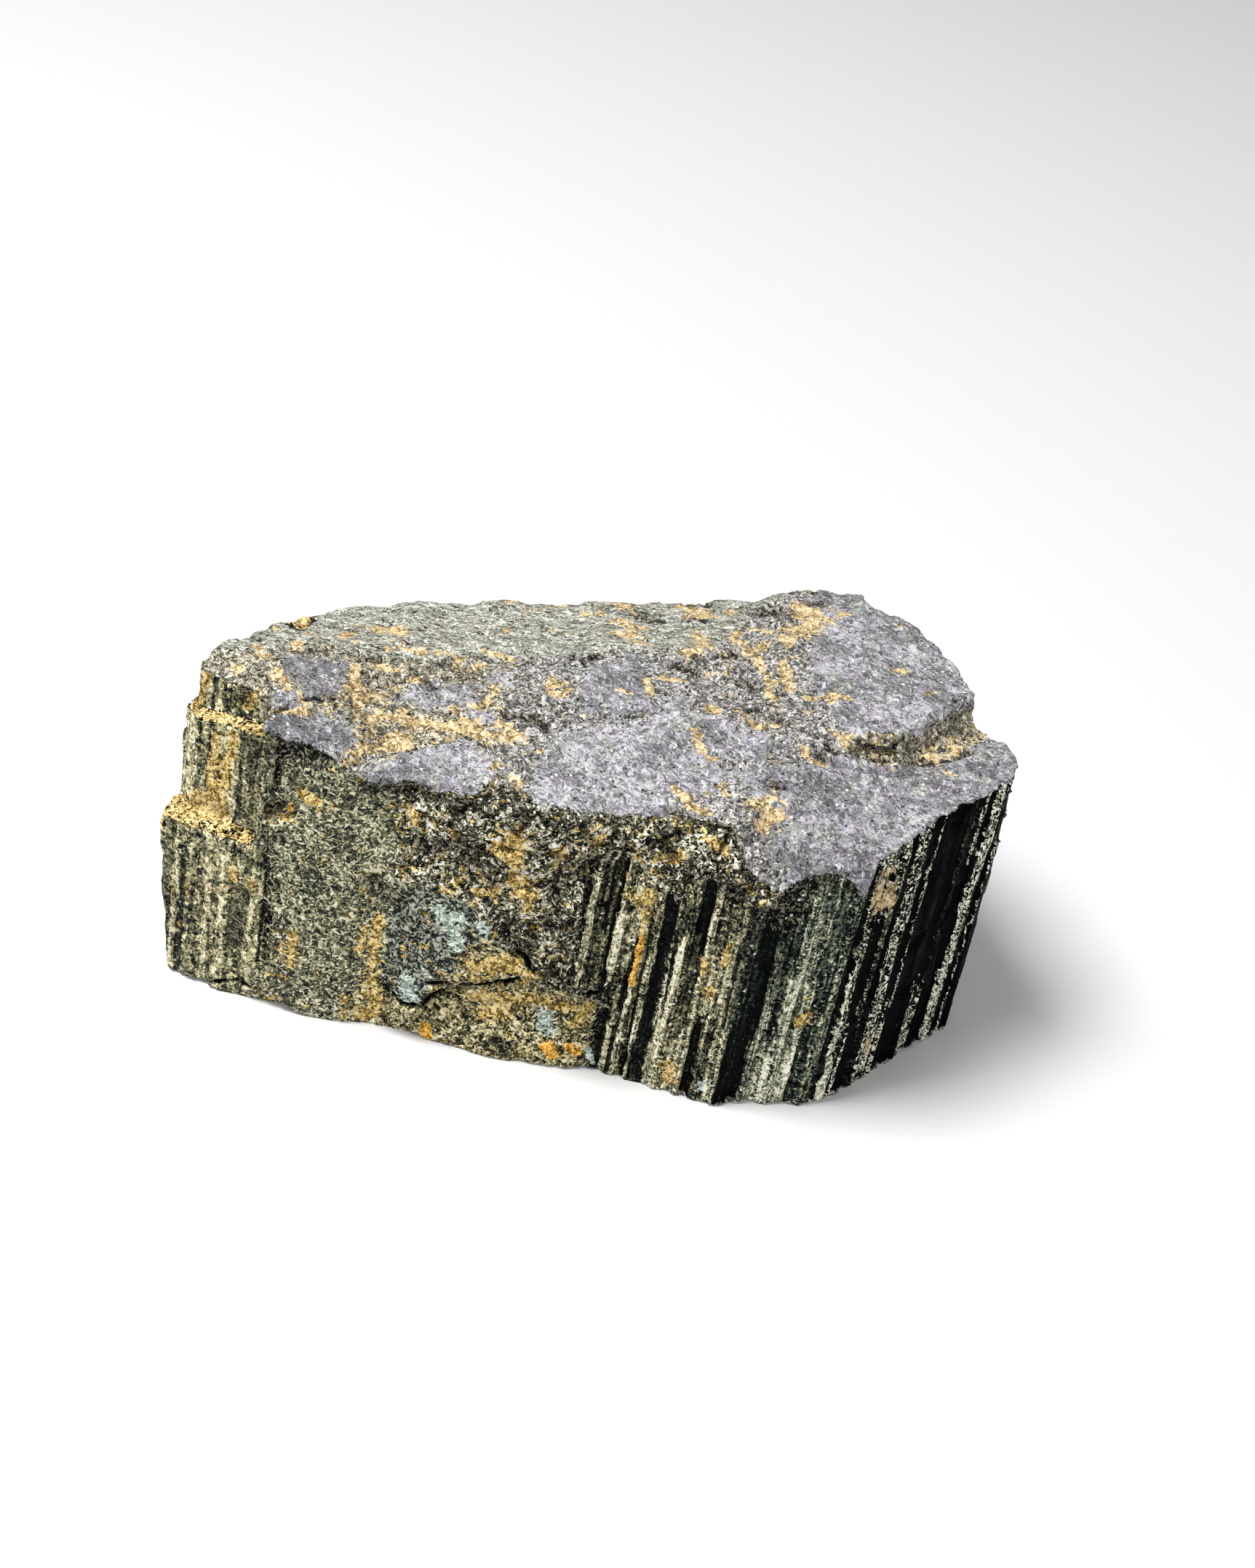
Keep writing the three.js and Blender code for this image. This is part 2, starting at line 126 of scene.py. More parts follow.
# Smooth pieces of the broken top: tone from -1, dark, to 1, bright, and the outline in x, y
TOP_PLATES = [
    (-0.5, -46, -13.5, -41, -13, -37.5, -14.5, -38.5, -17, -38, -21, -40.5, -23, -43, -20,
     -46, -17.5),
    (-0.7, -46, -21, -43, -22, -42, -25, -44, -27, -45.7, -26),
    (-0.4, -45.5, -28, -41, -26.5, -36, -25.5, -33.5, -30, -36, -40, -43, -40, -45.5, -32),
    (0.35, -31, -60, -31, -36, -24, -29.5, -19.5, -26, -17, -27.5, -15, -31, -15, -60),
    (0.5, -29, -15.5, -25, -14, -22, -16, -22, -19.5, -26, -21, -29.5, -19.5),
    (-0.5, -25, -14.5, -20, -13.5, -19.3, -18, -22, -19),
    (-0.4, -19.7, -19.3, -15.5, -19.3, -15.3, -22.5, -18.5, -22),
    (0.4, -19, -10.5, -16.5, -9.2, -14.8, -12, -17, -13.3, -19, -12.5),
    (-0.3, -6, -6, 0, -1, 4, -3, 3, -7, 5, -12, 0, -16, -5, -15),
    (0.6, -8, -22, -3, -19, 3, -17, 5, -14, 5, -10, 9, -9, 11, -14, 10, -20, 14, -22, 16, -25,
     13, -30, 9, -31, 8, -60, -14, -60, -8, -27),
    (-0.2, 10.5, -12, 13, -12.5, 19, -14, 24, -16, 20, -21, 14, -21, 11, -16),
    (0.2, 24, 19, 24, 25, 28, 28, 36, 26, 42, 19, 46, 12, 50, 6, 47, 1, 43, -5, 40, -9, 34, -10.3,
     30.5, -9.5, 28, -4, 25, 1, 26, 8, 25, 14),
    (0, 17, -24, 22, -21, 28, -19, 30, -16, 33, -16.4, 37, -18, 41, -16.2, 43.5, -15.6, 47, -12.8,
     49.6, -8, 53, -7.4, 60, -12, 60, -60, 25, -60, 25, -44, 22, -36, 20, -30),
]
# The greyish, streaked back of the top
STREAKED = [
    -70, -14, -50, -14, -44, -10, -38, -9.5, -30, -10, -27, -10, -20, -8.5, -14, -5, -8, -2, -2, 0,
    4, 2, 10, 4, 13, 9, 15, 14, 20, 20, 22, 30, -70, 30,
]

# Coarse khaki grains in the step between the two plates on the right
STEP = [
    30, -11, 34, -10.3, 38, -9, 40, -9.2, 43, -5, 46, -1.6, 51, 3, 51, -6, 49, -9, 46, -13,
    43.5, -15, 40, -15.5, 36.5, -17, 32, -15.5,
]

# Ochre stains on the top: half their width in mm, then x, y along them
TOP_OCHRE = [
    (2.4, 23.6, 18.5, 25.6, 17, 24, 13.5, 22, 12), (1, 22, 12, 21.5, 8.5), (1.1, 18.4, 8, 18, 6.8),
    (0.9, 15.2, 7, 17, 4, 18.5, 1, 20, -3, 20.5, -6.5), (0.9, 21, 5, 22, 1, 22.6, -2.2),
    (0.7, 25, -4, 27, -3.6, 29, -4.2), (0.8, 37.6, 6.4, 38.6, 7), (0.6, 41.8, 1.6, 43, 2.8),
    (1.1, 12.3, -10, 13.3, -10.6), (1, 17.8, -11.6, 19, -13), (0.6, 16.2, -10, 17, -10.2),
    (0.9, 10.6, -15.5, 11.4, -19, 13.4, -22), (0.8, 25.2, -15.6, 27.2, -18.4),
    (1, 9, -30, 11, -32.4, 13.2, -33.6), (1.9, 20.6, -30.5, 22.6, -31, 22, -35),
    (1, 22, -26, 23.4, -29), (0.5, 44.4, -16, 46, -17), (1.3, 30.6, -11.5, 31.6, -14.5),
    (1.2, 39.4, -10.5, 39.8, -14), (1.3, 8.8, 8, 9.4, 4.5, 8, 2.6), (0.9, 13.4, 7.6, 14, 9),
    (0.6, 4.2, -5, 7.4, -4.4), (0.4, 11, -1.8, 13, -0.9), (0.9, 3, -5.8, 3.4, -9),
    (1.3, 6, 14, 7.6, 13, 9.6, 13.4), (0.6, 12.6, 15, 12.8, 14), (1.4, -2.6, 7.4, -0.6, 6),
    (0.8, -0.4, 3.6, 1.6, 3), (0.6, -17.4, 1), (0.9, -37.6, -3.8, -35, -4),
    (0.8, -33, -3, -31.6, -4), (0.8, -38.6, -5.6, -40.4, -7.8), (0.9, -30.6, -8, -28.8, -7.6),
    (0.7, -33, -8.2), (0.9, -46, -6.6), (0.8, -45.4, -10.4, -44.6, -11.8),
    (0.8, -50.4, -12.6, -48.8, -15), (0.9, -47.2, -17, -45, -20), (0.9, -42.6, -22, -41, -24.6),
    (1, -36.8, -14, -36, -20, -34.6, -22), (1, -34, -12.6, -31.4, -12.8),
    (0.9, -29, -14.6, -27.4, -14.6), (0.9, -33.6, -19.6, -31.6, -19.2),
    (1.2, -9.6, -9.4, -9, -12.6, -7.8, -11), (0.8, -18.6, -13.6, -17, -14, -18, -17.6),
    (0.6, -24, -9.6, -21, -10, -20, -8.6), (0.7, -19.8, -18, -18, -18.6),
    (0.9, -22, -19.4, -21.8, -20.6), (1, -19.6, -21.8, -18.4, -22.6),
    (1.3, -14.6, -22, -12.2, -23.8), (1.3, -31, -24, -26, -24, -20, -24.6, -13, -24.4),
    (1.5, -28.6, -29, -26.8, -27.6), (1.6, -33.6, -33.6, -30, -31, -27, -30),
    (0.8, -38.4, -31.4, -37.2, -32.6), (0.9, -46.6, -28.6, -44, -26.8, -40.6, -26),
    (0.8, -9, -26.4), (0.8, -12, -33, -11, -35), (0.6, -1, -9.4, 0.6, -9.4),
    (0.5, 15.6, -26, 16.6, -28), (0.6, 28.8, -2, 31, -2.6), (0.7, 34, 2.6),
    (0.7, 28.6, 17.8, 29.6, 18.8), (0.6, 37.6, 18.4), (0.8, 16.4, 11.6, 18, 11),
    (0.9, 45, -8, 46, -12), (0.9, 42.6, -11, 43.4, -14), (2, -57, -50, -52, -54, -46, -56),
    (0.7, -13, 9, -9.6, 11.6), (0.8, -6, 13.4, -1, 11.6), (0.6, -9, 8, -5, 9.4),
    (0.6, -4, 4.4, 1.4, 5), (0.7, -1.6, 12.4, -0.6, 9), (0.7, -20, -5.4, -16.6, -6.4),
]
# Solid ochre chips on the top: half their width in mm, then x, y
TOP_CHIPS = [
    (0.9, 12.9, -10.3), (0.5, 16.4, -10.2), (0.8, 18.6, -12.6), (0.6, 11.2, -17.6),
    (0.7, 11.5, -19.6), (0.6, 12.8, -21.4), (0.6, 28, -18.6), (0.6, 6.6, 14.2), (0.8, 8, 13),
    (0.6, 9.4, 12.9), (0.7, 18, 7.4), (0.5, 13.9, 7.4), (1.2, 22.6, 16.6), (1.2, 25.4, 17.6),
    (0.9, 24, 13.2), (0.6, 21.6, 10.7), (0.5, 18.4, 0.4), (0.6, 21, -1.2), (0.5, 38, 7),
    (0.4, 45, -16.8), (0.4, 46, -17.6), (0.6, 9.6, -30.7), (0.7, 11.4, -32.2), (1.1, 21.2, -31.8),
    (0.8, 22.2, -28.5), (0.6, 31, -11.8), (0.4, 19.6, -7), (0.6, 8.4, 3.4), (0.6, -45.8, -6.3),
    (0.5, -49, -7.7), (0.6, -39.6, -6.2), (0.6, -40.5, -7.6), (0.5, -37, -3.7), (0.5, -34.6, -3.9),
    (0.5, -32.6, -2.4), (0.7, -30, -7.8), (0.5, -26.1, -6.9), (0.4, -17.9, 1), (0.6, -49.6, -13.6),
    (0.7, -46.6, -18.8), (1, -52.2, -18.8), (0.6, -44.6, -21.4), (0.7, -42, -23.4),
    (0.6, -36.5, -15.4), (0.9, -33, -13), (0.6, -28.4, -14.7), (0.9, -34.5, -20.5),
    (0.6, -17.9, -13.6), (0.5, -22, -20), (0.9, -8.6, -12.2), (0.6, -8, -9.4), (0.9, -13.2, -23.2),
    (0.9, -27.8, -27.5), (0.8, -29.4, -29.4), (0.9, -31.6, -31.8), (0.5, -35.6, -32.8),
    (0.6, -34.7, -26), (0.7, -19.6, -22.3), (0.7, -23.2, -24), (0.6, -1.6, 6.4), (0.5, -4.6, 12.6),
]
# Dark places on the top, and painted shade such as the thin shadow lines along the step at the edge
# of the right-hand plate, given as the stains are
TOP_DARK_AND_SHADE = [
    (0.9, -14.6, -19.4, -12, -18.6, -10, -19.6, -9, -21.4), (1, -28.6, -12, -27, -14, -25.6, -16),
    (0.8, -26, -10, -22, -9.4), (0.5, -8.8, -4.8, -8.4, -3.2, -7.2, -2.9, -6.5, -4.4),
    (0.9, -5, -1.6, -3.6, -1.4), (0.8, 6.6, -0.6, 9.6, 1, 12, 2.8, 14, 3.6), (1.3, 7, -1.4, 9, -2),
    (1.4, 15.6, -3, 18, -3.4), (1.3, 6.4, 15.8, 9.4, 16), (0.6, 7, 12, 9.6, 11.2),
    (0.8, 23.8, 23.8), (1.2, 16.6, 15.6, 19.4, 17), (0.9, 24.6, 20.4, 26.4, 20.8),
    (1, 32.4, -15.4, 34, -13.8, 37, -13.6, 38.6, -11.6),
    (0.5, 33, -16.2, 37, -15.4, 41, -15.8, 45.6, -13.4, 48, -11),
    (0.7, 39, -9.6, 42, -6.4, 44.6, -3.8, 46.4, -1), (1.2, 46.6, 1.6, 47.8, 0),
    (0.6, 20.2, -10.4, 23, -10.8), (0.8, 27.4, -16.8, 28.4, -17.6), (0.8, 20.8, -25.4, 23.4, -25.8),
    (0.6, -40.6, -5, -38.6, -5), (0.5, -36.8, -12, -34, -11.4), (0.6, -18, 0.4),
    (0.7, -10.4, 10.6, -9.2, 10.8), (0.5, -41.6, -23, -38.4, -21.8),
    (0.6, -45.6, -27.6, -43.6, -25.8), (0.9, 8.8, -35, 12.6, -36), (0.9, -0.4, 9.6, 3, 9.4),
    (0.8, 17, -9, 19, -9), (0.6, 28.6, -14.2, 30, -16),
]

# The top is measured in x and y, on a tilted sheet: its height at an x, and its rise per mm.
# The front is measured in x and z, on a bent sheet: x and the sheet's y.
TOP_SHEET = (46, -45, 0.05)
FRONT_SHEET = [
    -57, -30, -52, -31.5, -43, -33.7, -34, -34.5, -20, -35, -7, -36, 5, -34, 22, -35.4, 32, -33.5,
    38, -31,
]
# Lower edge of the broken top as it comes down over the front
TOP_EDGE = [
    -60, 52.6, -46, 54, -45, 47.6, -43, 47.2, -38, 47.2, -36, 46, -33, 44.5, -29, 43.5, -25, 45,
    -20, 44.6, -16.5, 45.2, -14.5, 48, -10, 47.6, -6, 46, 0, 46.3, 4, 46.3, 7, 47, 9, 49, 18, 49,
    20, 43.5, 22.4, 40.8, 25.5, 39.2, 26.3, 39.6, 27.6, 41, 29.4, 42.4, 31.4, 43.1, 33.3, 42.6,
    35, 40.8, 36.2, 39, 37.3, 38.6, 37.5, 45.6, 38.4, 47.7, 40, 48, 43, 46.5, 47, 46, 51, 47,
    60, 47,
]
# Outlines of the zones of the front
GRANULAR = [
    -42.4, -5, -42.4, 27, -44, 34, -42, 42, -38, 45, -30, 46, -24, 50, 26, 50, 26, 36, 23, 36.5,
    21, 37, 19.6, 38, 15, 39, 12.6, 34, 10.6, 36, 6, 38.5, 0.4, 38, 0.2, 16, 5, 14, 5, -5,
]
COARSE = [
    -25.4, 28, -26, 40, -24, 50, 26, 50, 26, 36, 19, 37, 13, 34, 6, 38, 0.4, 38, 0.2, 15, -2, 15.6,
    -4.6, 18, -7, 20.2, -11, 22.6, -14, 27, -20, 29,
]
SMOOTH = [
    -25, 27, -20, 28.4, -14, 26.4, -10.6, 22.4, -14.6, 19, -15.4, 14, -18, 11, -19.6, 6.4,
    -22.6, 6.4, -25, 9.6,
]
HOLLOW = [
    -29, -3, -29, 6, -27.4, 11, -25, 9.6, -22.6, 6.4, -19.6, 6.4, -18, 11, -15.4, 14, -14.6, 19,
    -10.6, 22, -7, 20, -4.6, 17.8, -2, 15.4, 2, 13.4, 4.8, 13.6, 4.8, -3,
]
CLAY = [
    -57.5, 28.4, -54, 28.8, -50, 28.4, -46.5, 29.4, -48, 31, -49, 32, -49.2, 36, -50.6, 37,
    -52, 34.4, -54, 34, -55.4, 31,
]

# Ochre and orange stains on the front: half their width in mm, then x, z along them. Those on
# the right-hand wall go by the distance along it.
FRONT_OCHRE = [
    (1.8, -12.6, 16, -8, 18.8, -5, 17), (1.6, -12, 11, -5, 13, 1, 11.6),
    (1.4, -27.4, 3, -25.4, 4, -26.4, 9), (1.3, -11, 8, -7.6, 9.4), (1.2, 2.6, 9, 3.8, 12),
    (0.9, -26.6, 11, -26.6, 21), (1.5, -11.4, 37.6, -9.4, 40, -9, 33, -7, 31),
    (0.9, -18.4, 28.8, -17.8, 29), (1.1, -24.4, 40.4, -23.4, 39.2), (0.8, -14, 29.6, -11.4, 29.4),
    (0.9, -4.4, 36.8, -3.8, 38.4), (1, 6, 34, 7.6, 32, 8.8, 35, 9.2, 30), (0.5, 9, 29, 9, 18),
    (0.5, 5, 35.6, 6.6, 33), (1, 9.6, 40.6, 11.4, 41.4), (0.8, 19.6, 21, 19.4, 18),
    (0.9, 17.8, 24.6, 18, 22.4), (1.2, 16.4, 5, 17, 2), (0.9, 14.6, 45.4, 17.4, 44.4),
    (0.3, -43.8, 33.3, -40.2, 34.6, -40.2, 37.4), (0.3, -47, 27.6, -45.6, 29.6),
    (0.8, -40.2, 1.4, -39.6, 0.2), (0.6, -29.8, 1, -29.6, 6), (1, -50, 33, -49, 45),
    (0.8, -51.6, 34, -51.4, 44), (0.9, -54.4, 47.6, -53.6, 52), (1, -47.4, 50, -46.6, 53),
    (1.3, 32.6, 17.2, 33, 16.4), (0.5, 35.6, 16.4), (0.6, 33, 20.8, 34, 21),
    (0.9, -36.6, 38, -39, 39), (0.6, -47.4, 23, -47.4, 20.4), (0.6, -45, 22, -44.6, 20),
    (0.9, -38.2, 14, -38, 9), (0.6, -34, 46, -33, 44.6), (0.6, -28.6, 18, -28.2, 15),
    (0.5, -22.6, 17, -22.4, 14), (0.9, 20.6, 26, 20.6, 28.6),
]
FRONT_ORANGE = [
    (1.2, -0.8, 4, 0.4, 2.8), (0.8, 2.2, 5, 3.4, 3.2), (0.5, 9, 26, 9, 18),
    (0.5, -43.8, 33.4, -40.4, 34, -40.2, 36.6), (0.9, -18, 3.6, -17.8, 1.8), (0.7, -40, 1),
    (0.4, -47, 27.6, -45.6, 29.6),
]
RIGHT_OCHRE = [(3.0, -0.2, 38.6, 1.2, 37), (1.4, 2, 35.6, 3, 34.6), (0.8, 7.2, 7, 8, 5)]
# Solid ochre chips on the front: half their width in mm, then x, z
FRONT_CHIPS = [
    (0.5, 14.8, 45.3), (0.6, 15.9, 45), (0.5, 17.1, 44.6), (0.7, -18.4, 28.7), (0.7, -4.2, 37.4),
    (0.6, -23.8, 39.8), (0.5, 8.8, 2.9), (0.5, 8.3, 39.5), (0.4, 10.4, 41.1), (0.8, -12, 38),
    (0.7, -9.4, 33.6), (0.5, -7.4, 38.8), (0.4, -47.2, 21.8), (0.4, -44.4, 21), (0.8, -40.2, 0.8),
    (0.5, -41.6, 2), (0.6, 1.2, 42), (0.5, -26, 8),
]
# Pale green-white crusts on the front, given as its stains are
FRONT_PALE = [
    (1.1, -19, 25, -17.6, 23.4, -15.8, 21.6, -15.6, 19), (0.8, -16.4, 24.4, -15, 24),
    (0.8, -12.8, 24.2, -11.8, 23), (1.4, -21.4, 11, -20.9, 7.6), (0.4, -19.6, 14, -18, 12.4),
    (1.4, -2, 10.4, -1.4, 7.4), (0.6, 4.6, 3.6, 6, 1.6), (0.8, 21.4, 2, 22.6, 4),
]
# Cracks on the front, each with a black line of painted shade along it: half their width and their
# depth in mm, then x, z along them
FRONT_CRACKS = [
    (0.5, 1.4, -18.6, 10.9, -16.6, 11.7, -15, 12.4, -13.4, 13),
    (0.32, 1, -13.4, 13, -10, 14.1, -8.4, 14.9, -6.4, 16.2), (0.35, 1, -25, 9.2, -22.6, 6.6),
    (0.5, 1.6, -22.6, 6.6, -21.2, 6.2, -19.2, 6.6, -18, 8.8, -15.2, 12.4),
    (0.4, 0.9, -50, 0.8, -46, 2.2, -41, 2.4), (0.4, 0.8, 2.4, 13.4, 4.6, 14.8),
    (0.45, 1.2, -9, 21.2, -6.2, 19.6, -3, 16.2, -1, 15.2, 1, 14.4), (0.4, 0.6, 18.6, 46, 20.4, 47),
]
# Black hollows between the grains, their black partly painted shade, and painted shade such as the
# dark flank of the arch, given as the stains are
FRONT_DARK_AND_SHADE = [
    (1.8, -16.8, 37, -15, 35.6), (1.6, -2.4, 36, 1, 38.6), (1.9, -45.4, 43.4, -43, 44.4, -37, 45.8),
    (1.5, -15, 46, -12, 46.6), (1.4, -18, 42, -16, 43), (1, -43.2, 35.2, -41.4, 36.2),
    (1.1, -8, 4, -6, 3.6), (1.2, -3, 26, -1.4, 26.6), (1, 8.8, 45, 11, 41),
    (1.1, -4.6, 43.6, -1, 44), (1.2, -42.8, 29, -41, 31), (1.4, -28.4, 27, -24, 24),
    (1.3, -9.4, 23.4, -6, 23), (0.9, 13.6, 41, 16.6, 40), (1.6, -22, 34, -19.6, 36),
    (1.1, 18, 39, 21, 37), (2.2, 27.2, 34.4, 28, 37.6, 29.4, 40.4), (1, 30, 41.2, 31.6, 42.2),
    (1.2, -46.6, 9, -46.2, 18), (0.7, -12.9, 32.4), (1, -46.4, 45, -46, 40),
    (0.9, -48.4, 50.6, -48, 52.4), (1.3, -15.3, 46.4, -10.4, 46.6), (1, -9.6, 44, -5.4, 44),
    (0.8, -8, 22, -4, 18.6, -0.6, 16.6), (0.8, 1.6, 14.6, 3.6, 14.4),
]


# Numbers on the surface

def lattice(cell, seed):
    """A repeatable number from 0 to 1 for each whole-number place."""
    a, b, c = np.moveaxis(cell, -1, 0)
    n = (a * 73856093 ^ b * 19349663 ^ c * 83492791 ^ seed * 49979687) & 0xFFFFFFFF
    n = ((n ^ (n >> 13)) * 1274126177) & 0xFFFFFFFF
    n = ((n ^ (n >> 15)) * 668265263) & 0xFFFFFFFF
    return (n ^ (n >> 16)) / 0xFFFFFFFF


def smooth_noise(p, seed):
    """Smooth noise from -1 to 1."""
    cell = np.floor(p).astype(np.int64)
    f = p - cell
    f = f * f * f * (f * (f * 6 - 15) + 10)
    total = np.zeros(len(p))
    for corner in np.ndindex(2, 2, 2):
        weight = np.prod(np.where(corner, f, 1 - f), axis=1)
        total += weight * lattice(cell + corner, seed)
    return 2 * total - 1


def fractal(p, octaves, seed):
    """Octaves of smooth noise, from about -1 to 1."""
    total, size, whole = np.zeros(len(p)), 1.0, 0.0
    for octave in range(octaves):
        total += size * smooth_noise(p * 2.03 ** octave + 17.3 * octave, seed + octave)
        whole += size
        size *= 0.55
    return total / whole * 1.6


def cells(p, seed):
    """Cellular noise: distances to the two nearest points, the way from the first, its number."""
    home = np.floor(p).astype(np.int64)
    near, second = np.full((2, len(p)), 9.0)
    offset = np.zeros_like(p)
    tag = np.zeros(len(p))
    for step in np.ndindex(3, 3, 3):
        cell = home + step - 1
        place = cell + np.stack([lattice(cell, seed + axis) for axis in range(3)], axis=1)
        away = p - place
        distance = np.sqrt((away ** 2).sum(axis=1))
        closer = distance < near
        second = np.where(closer, near, np.minimum(second, distance))
        near = np.where(closer, distance, near)
        offset[closer] = away[closer]
        tag = np.where(closer, lattice(cell, seed + 5), tag)
    return near, second, offset, tag


def facets(p, size, seed):
    """Small flat faces that each tilt their own way, from about -1 to 1."""
    _, _, offset, tag = cells(p / size, seed)
    angle = tag * 41.0
    tilt = np.stack([np.cos(angle), np.sin(angle), np.cos(angle * 1.7)], axis=1)
    return (offset * tilt).sum(axis=1) * 1.6 + (tag - 0.5) * 0.8


def ramp(x, low, high):
    """0 at low, 1 at high, smooth between them. low may be the larger."""
    t = np.clip((x - low) / (high - low), 0, 1)
    return t * t * (3 - 2 * t)


def pairs(numbers):
    return list(zip(numbers[::2], numbers[1::2]))


def near_line(u, v, points):
    """Distance from each (u, v) to a line through the points, or to the only point."""
    best = np.full(len(u), 1e9)
    for (au, av), (bu, bv) in zip(points, points[1:] or points):
        du, dv = bu - au, bv - av
        t = np.clip(((u - au) * du + (v - av) * dv) / (du * du + dv * dv + 1e-9), 0, 1)
        best = np.minimum(best, np.hypot(u - au - t * du, v - av - t * dv))
    return best


def region(u, v, outline):
    """Distance inside the outline, in mm; negative outside it."""
    closed = pairs(outline + outline[:2])
    inside = np.zeros(len(u), bool)
    for (au, av), (bu, bv) in zip(closed, closed[1:]):
        crosses = (av > v) != (bv > v)
        inside ^= crosses & (u < au + (v - av) * (bu - au) / (bv - av + 1e-12))
    distance = near_line(u, v, closed)
    return np.where(inside, distance, -distance)


def lines(u, v, marks):
    """1 on the middle of the nearest marked line, 0 at its edge, -1 well outside."""
    best = np.full(len(u), -1.0)
    for width, *places in marks:
        best = np.maximum(best, 1 - near_line(u, v, pairs(places)) / width)
    return best


def band_light(u, z, rows):
    """How light the ribs are at each place along a wall and up it."""
    light, low = np.zeros(len(u)), -1e9
    for high, *bands in rows:
        starts, values = np.array(pairs(bands)).T
        here = (z >= low) & (z < high)
        light[here] = values[np.searchsorted(starts, u[here]).clip(1) - 1]
        low = high
    return light


# The mesh

def values_of(items, name, width=1, kind=np.int32):
    """One value, or one row of them, for each vertex, edge or face."""
    values = np.zeros(len(items) * width, kind)
    items.foreach_get(name, values)
    return values.reshape(-1, width) if width > 1 else values


def vertex_rows(mesh, name):
    return values_of(mesh.vertices, name, 3, np.float32).astype(float)


def with_modifier(piece, kind, **settings):
    """Runs one modifier and keeps its result as the piece's mesh."""
    modifier = piece.modifiers.new(kind.lower(), kind)
    for name, value in settings.items():
        setattr(modifier, name, value)
    shown = piece.evaluated_get(bpy.context.evaluated_depsgraph_get())
    mesh = bpy.data.meshes.new_from_object(shown)
    piece.modifiers.clear()
    piece.data = mesh
    return mesh


def smoothed(values, edges, steps):
    """Brings each vertex's values nearer to the mean of its neighbours', several times."""
    count = len(values)
    a, b = edges.T
    degree = np.bincount(a, minlength=count) + np.bincount(b, minlength=count)
    for _ in range(steps):
        total = [np.bincount(a, column[b], count) + np.bincount(b, column[a], count)
                 for column in values.T]
        values = (values + np.stack(total, axis=1) / degree[:, None]) / 2
    return values


def store(mesh, limit, **fields):
    """Keeps one number per vertex under each name, up to the limit, for the material."""
    for name, values in fields.items():
        field = mesh.attributes.new(name, "FLOAT", "POINT")
        field.data.foreach_set("value", np.clip(values, -limit, limit).astype(np.float32))


def measured_places(p):
    """Where each surface place lies on the sheets that the marks were measured on, seen from
    the camera: x, y on the top sheet, x, z on the front one, s, z on the right-hand one."""
    way = np.array(CAMERA_TARGET) + CAMERA_DISTANCE * np.array(CAMERA_BACK) - p
    height, start, rise = TOP_SHEET
    top_height = height + (p[:, 0] - start) * rise
    top = p + way * ((top_height - p[:, 2]) / way[:, 2])[:, None]
    front_depth = np.interp(p[:, 0], FRONT_SHEET[::2], FRONT_SHEET[1::2])
    front = p + way * ((front_depth - p[:, 1]) / way[:, 1])[:, None]
    corner, along = (np.array(v + (0.0,)) for v in RIGHT_FACE)
    facing = np.array([along[1], -along[0], 0.0])
    right = p + way * (((corner - p) @ facing) / (way @ facing))[:, None]
    return top[:, 0], top[:, 1], front[:, 0], front[:, 2], (right - corner) @ along, right[:, 2]


